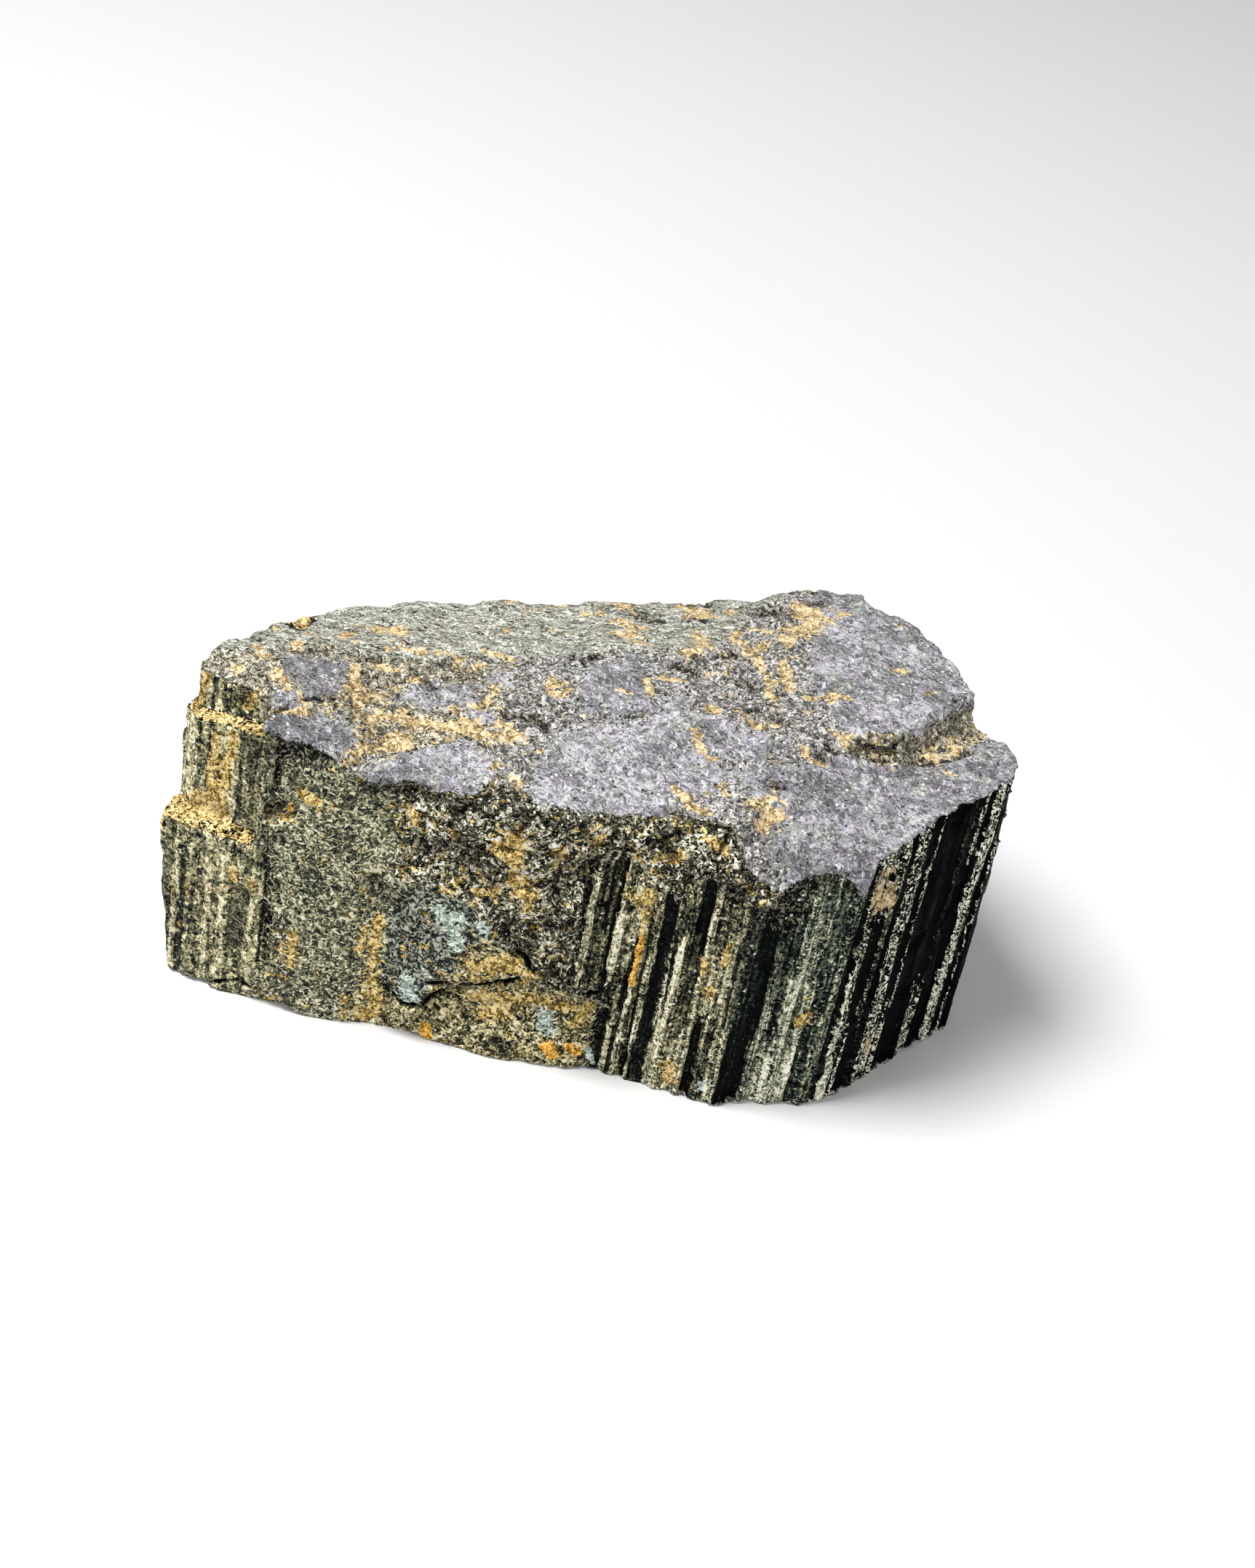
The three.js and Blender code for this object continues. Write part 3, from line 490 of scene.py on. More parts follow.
def shape_stone(piece):
    """Raises the relief on the even mesh and stores what the material reads."""
    mesh = piece.data
    p = vertex_rows(mesh, "co") / MM - DRAWN_AT
    edges = values_of(mesh.edges, "vertices", 2)
    normal = vertex_rows(mesh, "normal")
    broad = smoothed(normal, edges, NORMAL_STEPS)
    broad /= np.linalg.norm(broad, axis=1)[:, None]
    x, y, z = p.T
    nx, ny, nz = broad.T
    wander = fractal(p / 5, 2, 11)
    jag = smooth_noise(p / 1.3, 91)
    tx, ty, fx, fz, s, sz = measured_places(p)
    along_front, along_right = fx + 0.05 * jag, s + 0.05 * jag
    tx, ty = tx + 0.5 * jag + 0.5 * wander, ty + 0.5 * jag
    fx, fz = fx + 0.25 * jag, fz + 0.5 * jag

    # Which way the surface looks, 0 to 1
    upward = ramp(nz, 0.42, 0.66) * np.maximum(ramp(x, 40, 37), ramp(nz, 0.6, 0.75))
    under = ramp(nz, -0.45, -0.7)
    wall = 1 - np.maximum(upward, under)
    right = np.maximum(ramp(nx, 0.45, 0.62) * ramp(x, 37.5, 39), ramp(x, 39, 40.5))
    right = right * ramp(ny, 0.35, -0.1) * wall
    front = ramp(ny, -0.45, -0.7) * wall * (1 - right)
    ledge = upward * ramp(x, -43.5, -45.5) * ramp(z, 48.6, 47.4)
    rim = np.maximum(ramp(y, -30, -32) * upward * ramp(x, 39, 37), ledge)
    ahead = np.maximum(front, rim)
    on_top = ahead < 0.5
    hidden = np.clip(under + wall * ramp(ny, -0.2, 0.2) * (1 - right), 0, 1)

    # Zones, in mm inside their edge
    above = fz - np.interp(fx, TOP_EDGE[::2], TOP_EDGE[1::2])
    near_edge = np.clip(above, -2, 2)
    broken = np.where(ahead > 0.5, near_edge, 4 * np.maximum(upward, under) - 2)
    seen_front = (hidden < 0.5) & (right < 0.5)
    broken = np.where(seen_front, np.maximum(broken, near_edge), broken)
    broken = np.where(ledge > 0.5, -2, broken)
    step_wall = wall * ramp(x, 36, 39) * ramp(sz, 48.5, 49.5) * (1 - hidden)
    in_step = ramp(region(tx, ty, STEP), -0.4, 0.6) * (1 - hidden) * on_top
    broken = np.maximum(broken, 4 * step_wall - 2)
    plate = np.full(len(x), -2.0)
    shade = np.zeros(len(x))
    for tone, *outline in TOP_PLATES:
        inside = region(tx, ty, outline)
        shade = np.where(inside > plate, tone, shade)
        plate = np.maximum(plate, inside)
    chunks = cells(p / 11, 131)
    plate = np.where(hidden > 0.5, 8 * (chunks[1] - chunks[0] - 0.22) - 1, plate)
    shade = np.where(hidden > 0.5, chunks[3] - 0.8, shade)
    well_broken = ramp(broken, -1, 0)
    streaked = np.clip(region(tx, ty, STREAKED), -2, 2) * well_broken + 3 * (well_broken - 1)
    streaked = np.where(hidden > 0.5, -2, streaked)
    plate = np.where(streaked > 0, -2, plate)
    patches = 6 * (fractal(p / 13, 2, 31) + 0.2 * wander - 0.2)
    left_edge = 1.6 * wander * ramp(x, -36, -40)
    granular = np.where(right > 0.3, -2, patches)
    granular = np.where(ahead > 0.5, region(fx, fz, GRANULAR) + left_edge, granular)
    coarse = np.where(right > 0.3, -2, patches - 2)
    coarse = np.where(ahead > 0.5, region(fx, fz, COARSE), coarse)
    smooth = np.where(front > 0.5, region(fx, fz, SMOOTH), -2)
    hollow = np.where(front > 0.5, region(fx, fz, HOLLOW), -2)
    clay = np.where(ahead > 0.5, region(fx, fz, CLAY), -2) + 0.6 * wander
    clay = np.maximum(clay, 2.6 * ledge - 2.2 + 0.5 * wander)
    is_broken = ramp(broken, -0.5, 0.5)
    is_plate = ramp(plate, -1, 1.2) * is_broken
    is_streaked = ramp(streaked, -0.5, 0.5)
    is_granular = ramp(granular, -0.5, 0.5) * (1 - is_broken)
    is_coarse = ramp(coarse, -1, 1) * is_granular
    is_smooth = np.maximum(ramp(smooth, -0.5, 0.5), ramp(hollow, -0.5, 0.5)) * (1 - is_broken)
    is_smooth = np.maximum(is_smooth, ramp(clay, -0.3, 0.3))
    ribbed = np.clip(wall * (1 - is_granular - is_broken - is_smooth), 0, 1)

    # Relief, in mm
    calm = 1 - 0.55 * np.maximum(hidden, ramp(x, -48, -52))
    left = ramp(x, -42, -44) * wall
    seen = 1 - hidden
    bands = np.zeros(len(x))
    for shift in (-0.2, 0, 0.2):
        ribs = band_light(along_front + shift, fz + 0.6 * wander, FRONT_BANDS)
        ribs = np.where(left > 0.5, band_light(along_front + shift, fz, LEFT_BANDS), ribs)
        end_ribs = band_light(along_right + shift, sz + wander, RIGHT_BANDS)
        bands += np.where(right > 0.5, end_ribs, ribs) / 3
    depth = np.interp(bands, RIB_LIGHTS, RIB_HEIGHTS)
    height = ribbed * seen * depth * (1 - 0.4 * right - 0.6 * left)
    columns = np.stack([x + 0.25 * wander, y + 0.2 * wander, z / 34 + wander * 0.05], axis=1)
    near, second, _, tag = cells(columns / [2.3, 2.3, 1], 3)
    height += ribbed * (1 - 0.6 * seen) * (0.5 * (tag - 0.5) - 0.5 * ramp(second - near, 0.16, 0))
    near, second, _, tag = cells(columns / [1.05, 1.05, 1.6], 8)
    height += ribbed * 0.7 * (0.24 * (tag - 0.5) - 0.2 * ramp(second - near, 0.2, 0))
    height += ribbed * 0.14 * smooth_noise(columns * [1.7, 1.7, 3], 21)
    height -= ribbed * calm * 0.5 * ramp(facets(p, 5, 41), 0.85, 1.15)
    height *= 1 - 0.6 * hidden * ramp(z, 36, 46)

    near, _, _, tag = cells(p / GRAIN_SIZE, 51)
    grains = 0.35 * (0.55 - near) + 0.25 * (tag - 0.5)
    height += is_granular * calm * (1 - 0.75 * is_smooth) * (0.45 + 0.85 * is_coarse) * grains
    height += is_granular * calm * (0.12 + 0.6 * is_coarse) * facets(p, 3.6, 55)
    height += is_smooth * 0.15 * fractal(p / 2.2, 2, 57)
    rough = is_broken * (1 - is_streaked) * (1 - is_plate)
    height += is_plate * calm * (0.12 + 0.2 * facets(p, 5.5, 61) + 0.07 * facets(p, 2, 66))
    height += is_plate * 0.07 * fractal(p / [0.9, 1.4, 1.2], 2, 71)
    height += rough * calm * (-0.05 + 0.24 * facets(p, 3.2, 63) + (0.35 + 0.6 * in_step) * grains)
    height += is_streaked * 0.16 * fractal(p / [7, 1.5, 1.5], 3, 75)
    height -= rough * calm * 0.35 * ramp(fractal(p / 2.6, 2, 81), 0.5, 0.8)

    # Each crack is cut into the mesh; a narrow field along it marks its line of painted shade
    crack = np.full(len(x), -1.0)
    for width, deep, *places in FRONT_CRACKS:
        away = near_line(fx, fz, pairs(places))
        height -= deep * ramp(away, width, 0.1) * front
        crack = np.maximum(crack, (1 - away / (3 * width)) * front)
    # Dark places, partly painted shade, on the top and the front
    dark = np.where(on_top & (upward > 0.3), lines(tx, ty, TOP_DARK_AND_SHADE), -1)
    # A band of painted shade just below the lower edge of the broken top, on the middle of the
    # front
    shade_below_edge = 0.5 + 0.5 * wander - np.abs(above + 1.1) / 1.4
    shade_below_edge -= 9 * (1 - ramp(fx, -33, -31) * ramp(fx, 24, 22))
    front_dark = np.maximum(lines(fx, fz, FRONT_DARK_AND_SHADE), shade_below_edge)
    dark = np.where(ahead > 0.5, np.where(above > 0.3, -1, front_dark), dark)
    height -= DARK_DEPTH * ramp(dark, -0.1, 0.7)

    height *= 1 - ramp(z, *BASE_RIM) * ramp(nz, -0.6, -0.9)
    p = p + normal * height[:, None]
    p[:, 2] = np.maximum(p[:, 2], 0)

    # What the material reads
    # How deep each place lies in a hollow, which sets the painted shade in the hollows
    cavity = ((smoothed(p, edges, CAVITY_STEPS) - p) * normal).sum(axis=1)
    stain = np.where(on_top, lines(tx, ty, TOP_OCHRE), lines(fx, fz, FRONT_OCHRE))
    stain = np.where(right > 0.5, lines(s, sz, RIGHT_OCHRE), stain)
    ground = -1 + 0.4 * rough
    ground += 0.55 * rough * ramp(tx, -8, -20) * ramp(tx, -44, -34) * ramp(ty, -14, -22)
    ground += is_streaked * (0.3 + 0.5 * fractal(p / [9, 3, 3], 2, 121))
    ground += 0.35 * is_granular + 0.3 * is_coarse
    ground += 0.32 * left + 0.45 * in_step
    blots = fractal(p / [7, 5, 6], 3, 101)
    ground += hidden * (0.75 * blots - 0.05)
    stain = np.maximum(1.35 * stain - 0.1, ground + 0.3 * blots - 0.5 * right)
    chipped = np.where(on_top, lines(tx, ty, TOP_CHIPS), lines(fx, fz, FRONT_CHIPS))
    chipped = np.where(seen_front, CHIP_SLOPE * chipped, -1)
    stain = np.maximum(stain, np.maximum(chipped, -1))
    orange = np.where(front > 0.4, lines(fx, fz, FRONT_ORANGE), -1)
    pale = np.where(front > 0.4, lines(fx, fz, FRONT_PALE), -1)
    pale = np.maximum(pale, np.where(hidden > 0.5, 3 * (fractal(p / 4, 2, 111) - 0.85), -1))

    cool = np.where(is_broken > 0.5, ramp(tx, -24, -8) * (1 - in_step), ramp(x, 21, 26))
    store(mesh, 3, broken=broken, plate=plate, shade=shade, streaked=streaked, granular=granular,
          coarse=coarse, smooth=smooth, hollow=hollow, clay=clay, right=right, left=left,
          cavity=cavity, stain=stain, orange=orange, pale=pale, dark=dark, crack=crack,
          hidden=hidden, cool=cool)
    store(mesh, np.inf, front_x=fx, front_z=fz, right_s=s, right_z=sz)
    places = (p + DRAWN_AT) * MM
    mesh.vertices.foreach_set("co", places.astype(np.float32).ravel())
    mesh.update()


# The material

def linear(*screen):
    """A screen colour, 0 to 255, as the shader wants it."""
    return tuple(((c / 255 + 0.055) / 1.055) ** 2.4 for c in screen) + (1.0,)


class Shader:
    """Short names for one material's nodes."""

    def __init__(self, name):
        self.material = bpy.data.materials.new(name)
        self.material.use_nodes = True
        self.tree = self.material.node_tree
        self.surface = self.tree.nodes["Principled BSDF"]

    def node(self, kind, inputs=(), **settings):
        made = self.tree.nodes.new("ShaderNode" + kind)
        for name, value in settings.items():
            setattr(made, name, value)
        for place, value in dict(inputs).items():
            self.feed(made.inputs[place], value)
        return made

    def feed(self, socket, value):
        if isinstance(value, bpy.types.NodeSocket):
            self.tree.links.new(value, socket)
        else:
            socket.default_value = value

    def field(self, name):
        return self.node("Attribute", attribute_name=name).outputs["Fac"]

    def scaled(self, vector, by):
        return self.node("VectorMath", {0: vector, 1: by}, operation="MULTIPLY").outputs[0]

    def compute(self, operation, result, *values):
        """One operation with each of the values in turn."""
        for value in values:
            result = self.node("Math", {0: result, 1: value}, operation=operation).outputs[0]
        return result

    def product(self, *values):
        return self.compute("MULTIPLY", *values)

    def total(self, *values):
        return self.compute("ADD", *values)

    def weighted(self, constant, *parts):
        """The sum of the parts, each times its weight, and of a constant."""
        return self.total(*[self.product(*part) for part in parts], constant)

    def blend(self, factor, a, b):
        return self.node("Mix", {"Factor": factor, "A": a, "B": b}, data_type="FLOAT").outputs[0]

    def step(self, value, low, high, out_low=0.0, out_high=1.0):
        inputs = {"Value": value, "From Min": low, "From Max": high, "To Min": out_low,
                  "To Max": out_high}
        return self.node("MapRange", inputs).outputs["Result"]

    def noise(self, vector, scale, detail, roughness=0.5, distortion=0.0, colour=False):
        inputs = {"Vector": vector, "Scale": scale, "Detail": detail, "Roughness": roughness,
                  "Distortion": distortion}
        return self.node("TexNoise", inputs).outputs["Color" if colour else "Fac"]

    def grain(self, vector, scale):
        """A random number, 0 to 1, for each grain."""
        made = self.node("TexVoronoi", {"Vector": vector, "Scale": scale})
        return self.node("SeparateColor", {"Color": made.outputs["Color"]}).outputs[0]

    def mix(self, factor, a, b, blend="MIX"):
        inputs = {"Factor": factor, 6: a, 7: b}
        return self.node("Mix", inputs, data_type="RGBA", blend_type=blend).outputs[2]

    def layers(self, colour, *over):
        """Colours laid over the first one, each by its factor."""
        for factor, upper in over:
            colour = self.mix(factor, colour, upper)
        return colour

    def colours(self, value, stops, interpolation):
        """A colour ramp."""
        made = self.node("ValToRGB", {"Fac": value})
        band = made.color_ramp
        band.interpolation = interpolation
        for _ in stops[2:]:
            band.elements.new(1.0)
        for element, (place, colour) in zip(band.elements, stops):
            element.position = place
            element.color = colour
        return made.outputs["Color"]

    def palette(self, value, stops):
        """A smooth colour ramp: each stop's place, then its red, green and blue, 0 to 255."""
        return self.colours(value, [(place, linear(*colour)) for place, *colour in stops], "LINEAR")

    def bands(self, along, up, rows):
        """The light of the band that a place lies in, in the row that its height falls in."""
        low, high = rows[0][1], rows[0][-2] + LAST_BAND
        result, below = None, 0.0
        for top, *starts in rows:
            stops = [((start - low) / (high - low), (light,) * 3 + (1.0,))
                     for start, light in pairs(starts)]
            row = self.colours(self.step(along, low, high), stops, "CONSTANT")
            if result is not None:
                row = self.blend(self.step(up, below - ROW_FADE, below + ROW_FADE), result, row)
            result, below = row, top
        return result

    def contour(self, value, width, strength):
        """Thin wandering lines, where a noise passes its middle."""
        away = self.compute("SUBTRACT", value, 0.5)
        away = self.node("Math", {0: away}, operation="ABSOLUTE").outputs[0]
        return self.step(away, width, 0.0, 0.0, strength)


def stone_material():
    m = Shader("rough_tourmaline_surface")
    p = m.scaled(m.node("TexCoord").outputs["Object"], (1 / MM,) * 3)
    swirl = m.noise(p, 1, 1, colour=True)
    bend = {0: swirl, 1: (1.8,) * 3, 2: p}
    bent = m.node("VectorMath", bend, operation="MULTIPLY_ADD").outputs[0]
    upright = m.scaled(p, (1, 1, 0.035))
    turn = {"Vector": bent, "Angle": 0.6}
    turned = m.node("VectorRotate", turn, rotation_type="Z_AXIS").outputs[0]
    strokes = m.noise(m.scaled(turned, (0.5, 1.5, 1)), 1.3, 2, 0.6, 1)
    fine = m.noise(bent, 2.2, 1, 0.6)
    curly = m.noise(turned, 1.1, 2, 0.6, 1.8)
    curls = m.noise(bent, 0.8, 2, 0.6)
    wisps = m.noise(bent, 1.5, 1, 0.5)
    wide = m.noise(p, 0.16, 2, 0.5)
    tiny = m.grain(bent, 2.5)
    small = m.grain(bent, 1.3)
    speck = m.weighted(-0.825, (tiny, 0.6), (small, 0.15), (fine, 1.1), (curly, 0.8))
    coarse_speck = m.weighted(-0.2, (speck, 0.6), (curls, 0.8))
    fine_rag, curl_rag = (m.step(noise, 0.3, 0.7, -1, 1) for noise in (fine, curls))
    is_right, is_left = (m.step(m.field(side), 0.4, 0.6) for side in ("right", "left"))
    cool = m.field("cool")

    def frayed(name, *shares):
        """A stored number, moved by shares of the fine and the curly noise to make it ragged."""
        rags = [m.product(rag, share) for rag, share in zip((fine_rag, curl_rag), shares)]
        return m.total(m.field(name), *rags)

    def mask(name, share=0.5, low=-0.1, high=0.1):
        """1 inside a zone and 0 outside, with a ragged edge."""
        return m.step(frayed(name, share), low, high)

    # Broken top
    value = m.weighted(-0.78, (strokes, 0.95), (curly, 0.5), (fine, 0.25), (curls, 0.4),
                       (m.field("shade"), 0.09), (wide, 0.45))
    plates = m.palette(value, [
        (0.36, 82, 82, 83), (0.43, 108, 107, 109), (0.5, 130, 129, 131), (0.57, 152, 151, 153),
        (0.66, 190, 189, 191),
    ])
    tint = m.palette(m.noise(p, 0.4, 2, 0.6), [
        (0.41, 251, 254, 246), (0.5, 248, 250, 255), (0.59, 252, 247, 255),
    ])
    plates = m.mix(1, plates, tint, "MULTIPLY")
    warm_rough = m.palette(speck, [
        (0.26, 40, 39, 32), (0.38, 88, 85, 69), (0.5, 122, 117, 97), (0.62, 152, 146, 124),
        (0.76, 206, 198, 178),
    ])
    cool_rough = m.palette(speck, [
        (0.24, 54, 54, 51), (0.38, 102, 101, 97), (0.5, 130, 128, 124), (0.62, 156, 153, 150),
        (0.76, 208, 205, 201),
    ])
    rough = m.mix(m.step(m.total(cool, m.product(curl_rag, 0.5)), 0.3, 0.7), warm_rough, cool_rough)
    streaks = m.noise(m.scaled(bent, (0.18, 1, 1)), 1.3, 2, 0.65)
    greyish = m.palette(m.weighted(-0.13, (streaks, 0.7), (fine, 0.45), (tiny, 0.16)), [
        (0.36, 48, 50, 42), (0.44, 104, 106, 94), (0.52, 150, 150, 138), (0.6, 186, 187, 172),
        (0.7, 232, 232, 220),
    ])
    is_plate = frayed("plate", 0.6, 1.5)
    on_rough = m.step(is_plate, 0.3, -0.5, 0.45, 1)
    top = m.layers(
        rough,
        (m.step(is_plate, -0.6, 0.5), plates),
        (mask("streaked", 0.8, -0.4, 0.4), greyish),
        (m.product(m.contour(curly, 0.038, 1), on_rough), linear(30, 30, 28)),
        (m.contour(curls, 0.016, 0.6), linear(44, 43, 42)),
        (m.contour(wisps, 0.022, 0.5), linear(210, 207, 204)),
    )

    # Granular, smooth and hollow places of the front
    fine_speck = m.weighted(-0.965, (tiny, 0.55), (fine, 1.1), (curly, 0.75), (wide, 0.5))
    grains = m.palette(fine_speck, [
        (0.26, 22, 27, 27), (0.38, 54, 60, 52), (0.5, 98, 98, 74), (0.62, 146, 143, 108),
        (0.76, 214, 212, 184),
    ])
    coarse = m.palette(coarse_speck, [
        (0.34, 7, 8, 8), (0.45, 24, 26, 22), (0.51, 70, 70, 53), (0.57, 120, 117, 88),
        (0.66, 210, 204, 180), (0.76, 248, 246, 240),
    ])
    smooth = m.palette(speck, [
        (0.3, 24, 28, 27), (0.44, 52, 56, 51), (0.56, 92, 96, 83), (0.7, 162, 166, 151),
    ])
    hollow = m.palette(coarse_speck, [
        (0.34, 26, 27, 22), (0.44, 80, 78, 58), (0.52, 130, 122, 86), (0.6, 178, 166, 122),
        (0.72, 222, 214, 180),
    ])

    # Ribs
    threads = m.noise(upright, 1.7, 3, 0.7)
    sway = m.step(m.noise(m.scaled(p, (1, 1, 0.3)), 0.9, 2, 0.6), 0.3, 0.7, -0.16, 0.16)
    sway = m.total(sway, m.product(fine_rag, 0.1))
    climb = m.weighted(-3.5, (m.grain(upright, 0.8), 7), (curl_rag, 1))
    front_x = m.total(m.field("front_x"), sway)
    front_z = m.total(m.field("front_z"), climb)
    light = m.bands(front_x, front_z, FRONT_BANDS)
    light = m.blend(is_left, light, m.bands(front_x, front_z, LEFT_BANDS))
    right_s, right_z = m.total(m.field("right_s"), sway), m.total(m.field("right_z"), climb)
    right_light = m.bands(right_s, right_z, RIGHT_BANDS)
    right_light = m.step(right_light, 0.14, 0.85, 0, 0.9)
    light = m.blend(is_right, light, right_light)
    light = m.blend(m.field("hidden"), light, m.product(m.grain(upright, 0.62), 0.75))
    is_black = m.step(light, 0.13, 0.06)
    least, most = m.blend(is_right, 0.5, 0.12), m.blend(is_right, 1.3, 1.8)
    liveliness = m.step(light, 0, 0.4, least, most)
    mottle = m.weighted(-1.275, (threads, 1.5), (speck, 0.75), (curls, 0.3))
    blotches = m.weighted(-1.4, (threads, 0.9), (speck, 0.7), (curls, 1.2))
    mottle = m.blend(is_left, mottle, blotches)
    speckle = m.weighted(-1.49, (threads, 0.5), (speck, 2.2))
    mottle = m.blend(is_right, mottle, speckle)
    rib_value = m.total(light, m.product(mottle, liveliness), m.blend(is_right, 0.04, 0))
    warm_ribs = m.palette(rib_value, [
        (0, 2, 3, 3), (0.15, 11, 12, 12), (0.3, 44, 47, 41), (0.5, 96, 96, 77),
        (0.7, 156, 150, 110), (0.85, 204, 197, 160), (1, 238, 234, 212),
    ])
    cool_ribs = m.palette(rib_value, [
        (0, 1, 1, 2), (0.15, 7, 9, 9), (0.3, 38, 48, 44), (0.5, 84, 93, 81), (0.7, 144, 146, 115),
        (0.85, 198, 196, 166), (1, 236, 234, 216),
    ])
    left_ribs = m.palette(rib_value, [
        (0, 16, 18, 17), (0.15, 36, 40, 35), (0.3, 74, 77, 64), (0.5, 126, 124, 96),
        (0.7, 178, 170, 128), (0.85, 216, 206, 164), (1, 240, 232, 204),
    ])
    grains = m.layers(
        grains,
        (mask("coarse", 0.8, -0.5, 0.5), coarse),
        (m.contour(wisps, 0.02, 0.5), linear(196, 190, 158)),
        (m.contour(curly, 0.02, 0.6), linear(16, 17, 16)),
    )
    clay = m.palette(coarse_speck, [
        (0.36, 112, 94, 54), (0.5, 182, 156, 98), (0.66, 226, 204, 150),
    ])
    is_broken = mask("broken", 0.6)
    colour = m.layers(
        warm_ribs,
        (cool, cool_ribs),
        (is_left, left_ribs),
        (mask("granular", 0.8, -0.5, 0.5), grains),
        (mask("smooth"), smooth),
        (mask("hollow"), hollow),
        (is_broken, top),
        (mask("clay", 0.8), clay),
    )

    # Stains
    flecks = m.noise(bent, 0.75, 2, 0.55, 0.8)
    streaked_flecks = m.noise(m.scaled(bent, (1, 1, 0.22)), 1.5, 2, 0.65)
    flecks = m.blend(m.step(m.field("left"), 0.3, 0.7), flecks, streaked_flecks)
    stain = m.total(m.field("stain"), m.step(flecks, 0.3, 0.7, -0.95, 0.95))
    ochre = m.step(stain, 0.14, 0.22)
    top_ochre = m.palette(coarse_speck, [
        (0.34, 118, 101, 70), (0.44, 172, 148, 105), (0.54, 198, 174, 130), (0.68, 222, 205, 168),
    ])
    wall_ochre = m.palette(coarse_speck, [
        (0.34, 92, 76, 40), (0.44, 156, 130, 70), (0.54, 204, 174, 102), (0.68, 234, 214, 156),
    ])
    ochres = m.mix(m.compute("MAXIMUM", is_broken, is_right), wall_ochre, top_ochre)
    orange = m.step(frayed("orange", 0.35), 0.05, 0.2)
    rust = m.palette(speck, [(0.3, 150, 100, 34), (0.5, 210, 150, 54), (0.7, 244, 200, 104)])
    pale = m.step(frayed("pale", 0.35, 0.25), 0, 0.35)
    crust = m.palette(speck, [(0.3, 120, 134, 122), (0.5, 166, 180, 168), (0.7, 214, 226, 216)])

    # Painted shade in hollows and cracks, dark places with painted shade, dark pits and painted
    # glints
    # Painted shade in the hollows
    deep = m.step(m.field("cavity"), 0.06, 0.32)
    # Dark places, partly painted shade, and the colours they take
    dark = m.step(frayed("dark", 0.7, 0.8), 0.15, 0.4)
    dark_and_shade_colours = m.palette(speck, [(0.46, 11, 11, 11), (0.62, 40, 38, 32), (0.76, 130, 126, 108)])
    # Painted shade: a thin black line along each crack
    is_crack = m.step(frayed("crack", 0.06), 0.72, 0.8)
    grainy = m.step(m.field("coarse"), -0.5, 0.5)
    # Small spots: a few become painted glints, others dark pits
    spots = m.node("TexVoronoi", {"Vector": p, "Scale": 1.9})
    chance = m.node("SeparateColor", {"Color": spots.outputs["Color"]}).outputs[1]
    middle = m.step(spots.outputs["Distance"], 0.5, 0.3)
    # How many painted glints each zone gets
    share = m.blend(is_broken, m.blend(grainy, m.blend(is_black, 0.035, -0.05), 0.08), 0.03)
    painted_glints = m.step(m.total(chance, share), 0.99, 1.02)
    pits = m.step(chance, m.blend(is_broken, 0.16, 0.07), m.blend(is_broken, 0.13, 0.04))
    colour = m.layers(
        colour,
        (m.step(stain, 0, 0.14, 0, 0.55), linear(60, 52, 38)),
        (m.product(ochre, 0.92), ochres),
        (orange, rust),
        (m.product(pale, 0.92), crust),
        # painted shade in the hollows
        (m.product(deep, 0.75), linear(9, 9, 8)),
        # dark places and painted shade
        (m.product(dark, 0.85), dark_and_shade_colours),
        # painted shade in the cracks
        (is_crack, linear(8, 8, 8)),
        # painted glints
        (m.product(painted_glints, middle, 0.9), linear(220, 218, 206)),
        (m.product(pits, middle, 0.85), linear(9, 10, 10)),
    )
    m.feed(m.surface.inputs["Base Color"], colour)

    crusted = m.compute("MAXIMUM", ochre, pale)
    gloss = m.step(speck, 0.3, 0.8, 0.66, 0.42)
    gloss = m.total(gloss, m.product(crusted, 0.25), m.product(is_black, -0.15))
    m.feed(m.surface.inputs["Roughness"], gloss)
    m.surface.inputs["Specular IOR Level"].default_value = SPECULAR

    relief = m.total(m.product(fine, 0.5), m.product(tiny, 0.15), m.product(curls, 0.4))
    relief = m.blend(is_black, relief, m.product(threads, 0.5))
    relief = m.product(relief, m.blend(m.step(is_plate, -0.2, 0.6), 1, 0.7))
    bump = m.node("Bump", {"Height": relief, "Strength": 1, "Distance": BUMP_HEIGHT * MM})
    m.feed(m.surface.inputs["Normal"], bump.outputs[0])
    return m.material


def box_map(mesh):
    """A texture map of six views, one for each way that a face can look."""
    normal = values_of(mesh.polygons, "normal", 3, np.float32)
    side = np.abs(normal).argmax(axis=1)
    sign = np.take_along_axis(normal, side[:, None], axis=1)[:, 0] > 0
    corners = values_of(mesh.polygons, "loop_total")
    side, sign = np.repeat(side, corners), np.repeat(sign, corners)
    p = vertex_rows(mesh, "co")
    low = p.min(axis=0)
    width, depth, height = p.max(axis=0) - low
    q = p[values_of(mesh.loops, "vertex_index")] - low
    u = np.where(side == 0, q[:, 1], q[:, 0])
    v = np.where(side == 2, q[:, 1], q[:, 2])
    # Where each view lies on the sheet, and its scale: the base and the back are drawn smaller
    gap, small = 1.5 * MM, 0.6
    above_front = depth + height + 2 * gap
    views = {
        (2, True): (0, 0, 1), (1, False): (0, depth + gap, 1),
        (1, True): (0, above_front, small),
        (2, False): (0, above_front + small * height + gap, small),
        (0, True): (width + gap, 0, 1), (0, False): (width + gap, height + gap, 1),
    }
    across = width + depth + 2 * gap
    along = above_front + small * (height + depth) + 2 * gap
    for (axis, up), (from_left, from_base, scale) in views.items():
        here = (side == axis) & (sign == up)
        u[here] = u[here] * scale + from_left
        v[here] = v[here] * scale + from_base
    sheet = np.stack([u / across, v / along], axis=1).astype(np.float32)
    mesh.uv_layers.new(name=BAKE_MAP).data.foreach_set("uv", sheet.ravel())


# The scene

def add(name, data):
    made = bpy.data.objects.new(name, data)
    scene.collection.objects.link(made)
    return made


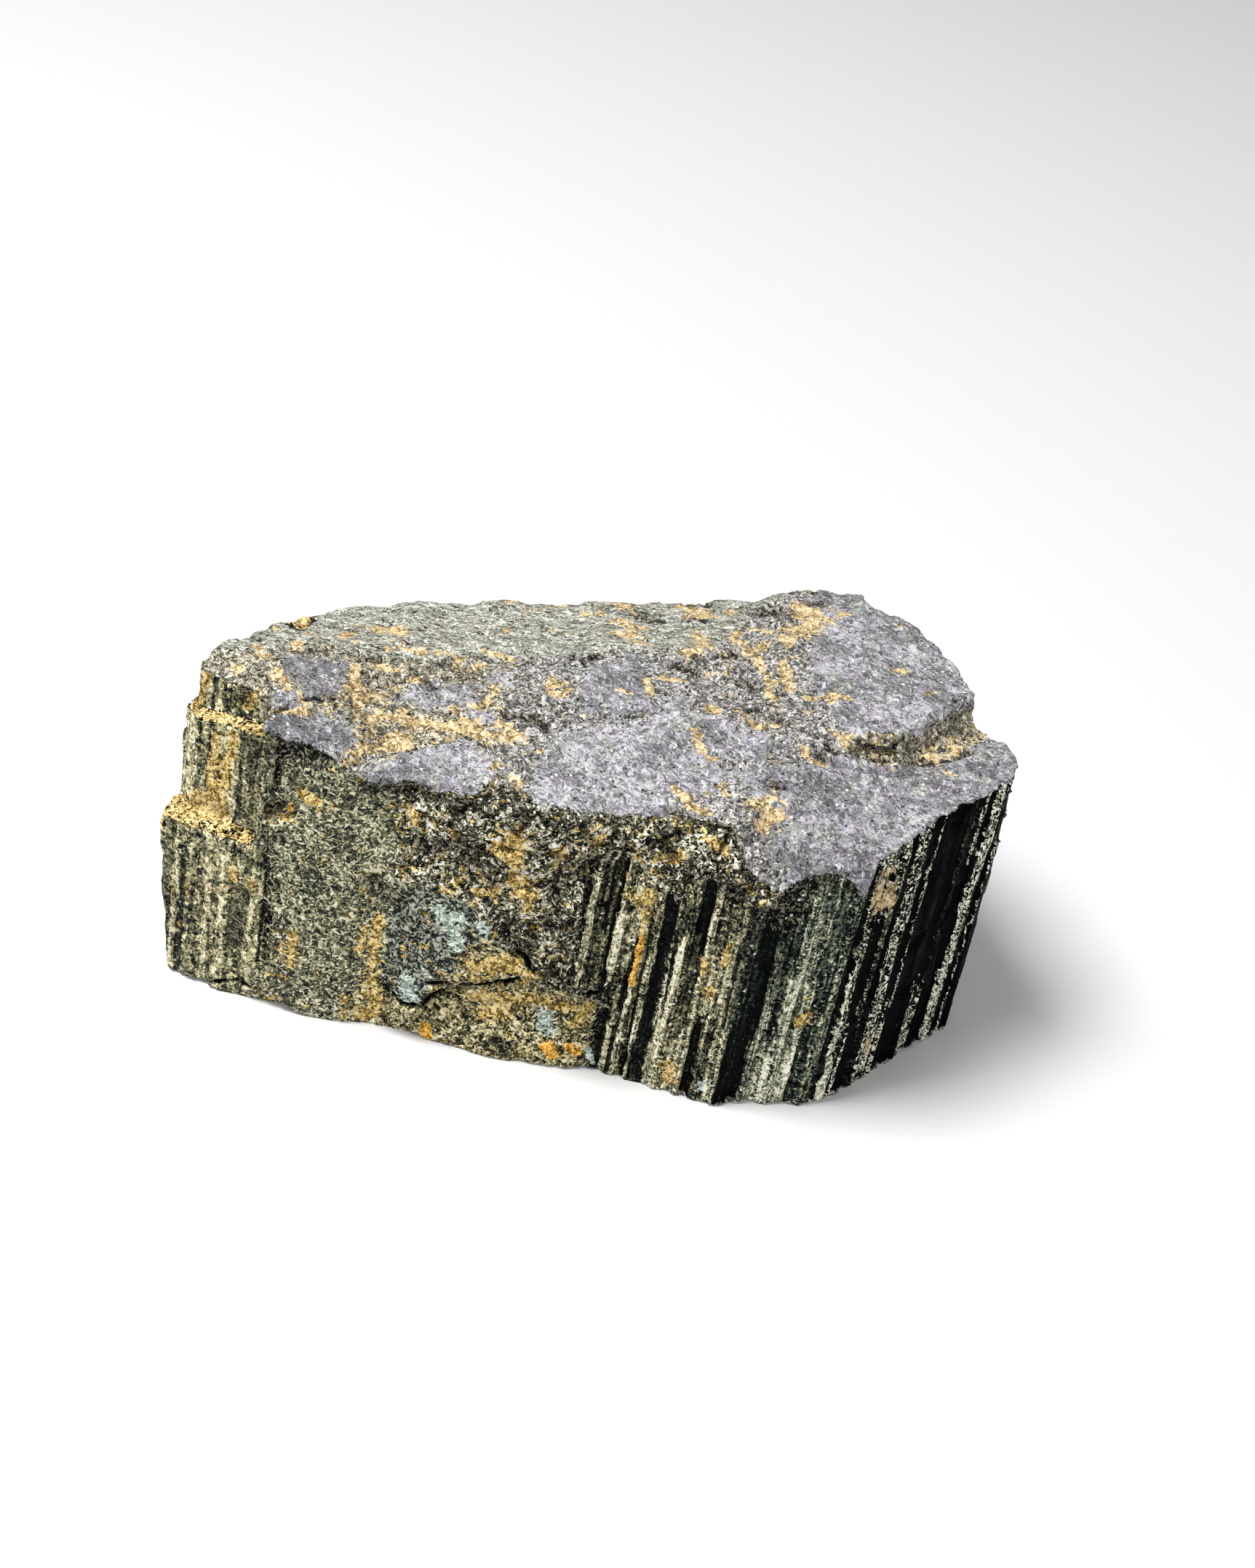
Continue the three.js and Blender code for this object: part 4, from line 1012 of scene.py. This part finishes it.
def add_camera():
    right = Vector((1, 0, 0))
    rise = Vector((0, CAMERA_BACK[2], -CAMERA_BACK[1]))
    back = Vector(CAMERA_BACK)
    cosine, sine = math.cos(CAMERA_ROLL), math.sin(CAMERA_ROLL)
    turned_right, turned_up = right * cosine + rise * sine, rise * cosine - right * sine
    lens = bpy.data.cameras.new("camera")
    lens.sensor_width = SENSOR
    lens.lens = FOCAL_PIXELS * SENSOR / PHOTO_LONG_SIDE
    lens.clip_start, lens.clip_end = CLIP
    camera = add("camera", lens)
    target = (Vector(CAMERA_TARGET) + Vector(DRAWN_AT)) * MM
    matrix = Matrix((turned_right, turned_up, back)).transposed().to_4x4()
    matrix.translation = target + back * CAMERA_DISTANCE * MM
    camera.matrix_world = matrix
    scene.camera = camera


def add_light(name, place, size, power):
    light = bpy.data.lights.new(name, "AREA")
    light.size, light.energy = size, power
    lamp = add(name, light)
    lamp.location = place
    lamp.rotation_euler = (Vector(LIGHT_AIM) - Vector(place)).to_track_quat("-Z", "Y").to_euler()


def add_floor():
    mesh = bpy.data.meshes.new("floor")
    corners = ((-1, -1), (1, -1), (1, 1), (-1, 1))
    mesh.from_pydata([(FLOOR_HALF * x, FLOOR_HALF * y, 0) for x, y in corners], [], [(0, 1, 2, 3)])
    floor = add("floor", mesh)
    paper = Shader("floor_paper")
    paper.surface.inputs["Base Color"].default_value = FLOOR_GREY
    paper.surface.inputs["Roughness"].default_value = FLOOR_ROUGHNESS
    mesh.materials.append(paper.material)


def add_stone():
    piece = add("rough_tourmaline_stone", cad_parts["tourmaline"].data.copy())
    with_modifier(piece, "REMESH", mode="VOXEL", voxel_size=VOXEL * MM)
    shape_stone(piece)
    faces = 2 * len(piece.data.polygons)
    mesh = with_modifier(piece, "DECIMATE", ratio=min(1.0, TRIANGLES / faces))
    mesh.shade_smooth()
    box_map(mesh)
    mesh.materials.clear()
    mesh.materials.append(stone_material())
    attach(piece, "root")
    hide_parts("tourmaline")


add_camera()
add_floor()
add_stone()
add_light("key", *KEY_LIGHT)
add_light("fill", *FILL_LIGHT)
world = bpy.data.worlds.new("studio")
scene.world = world
world.use_nodes = True
background = world.node_tree.nodes["Background"]
background.inputs["Color"].default_value = WORLD_WHITE
background.inputs["Strength"].default_value = WORLD_STRENGTH
scene.view_settings.view_transform = "Standard"
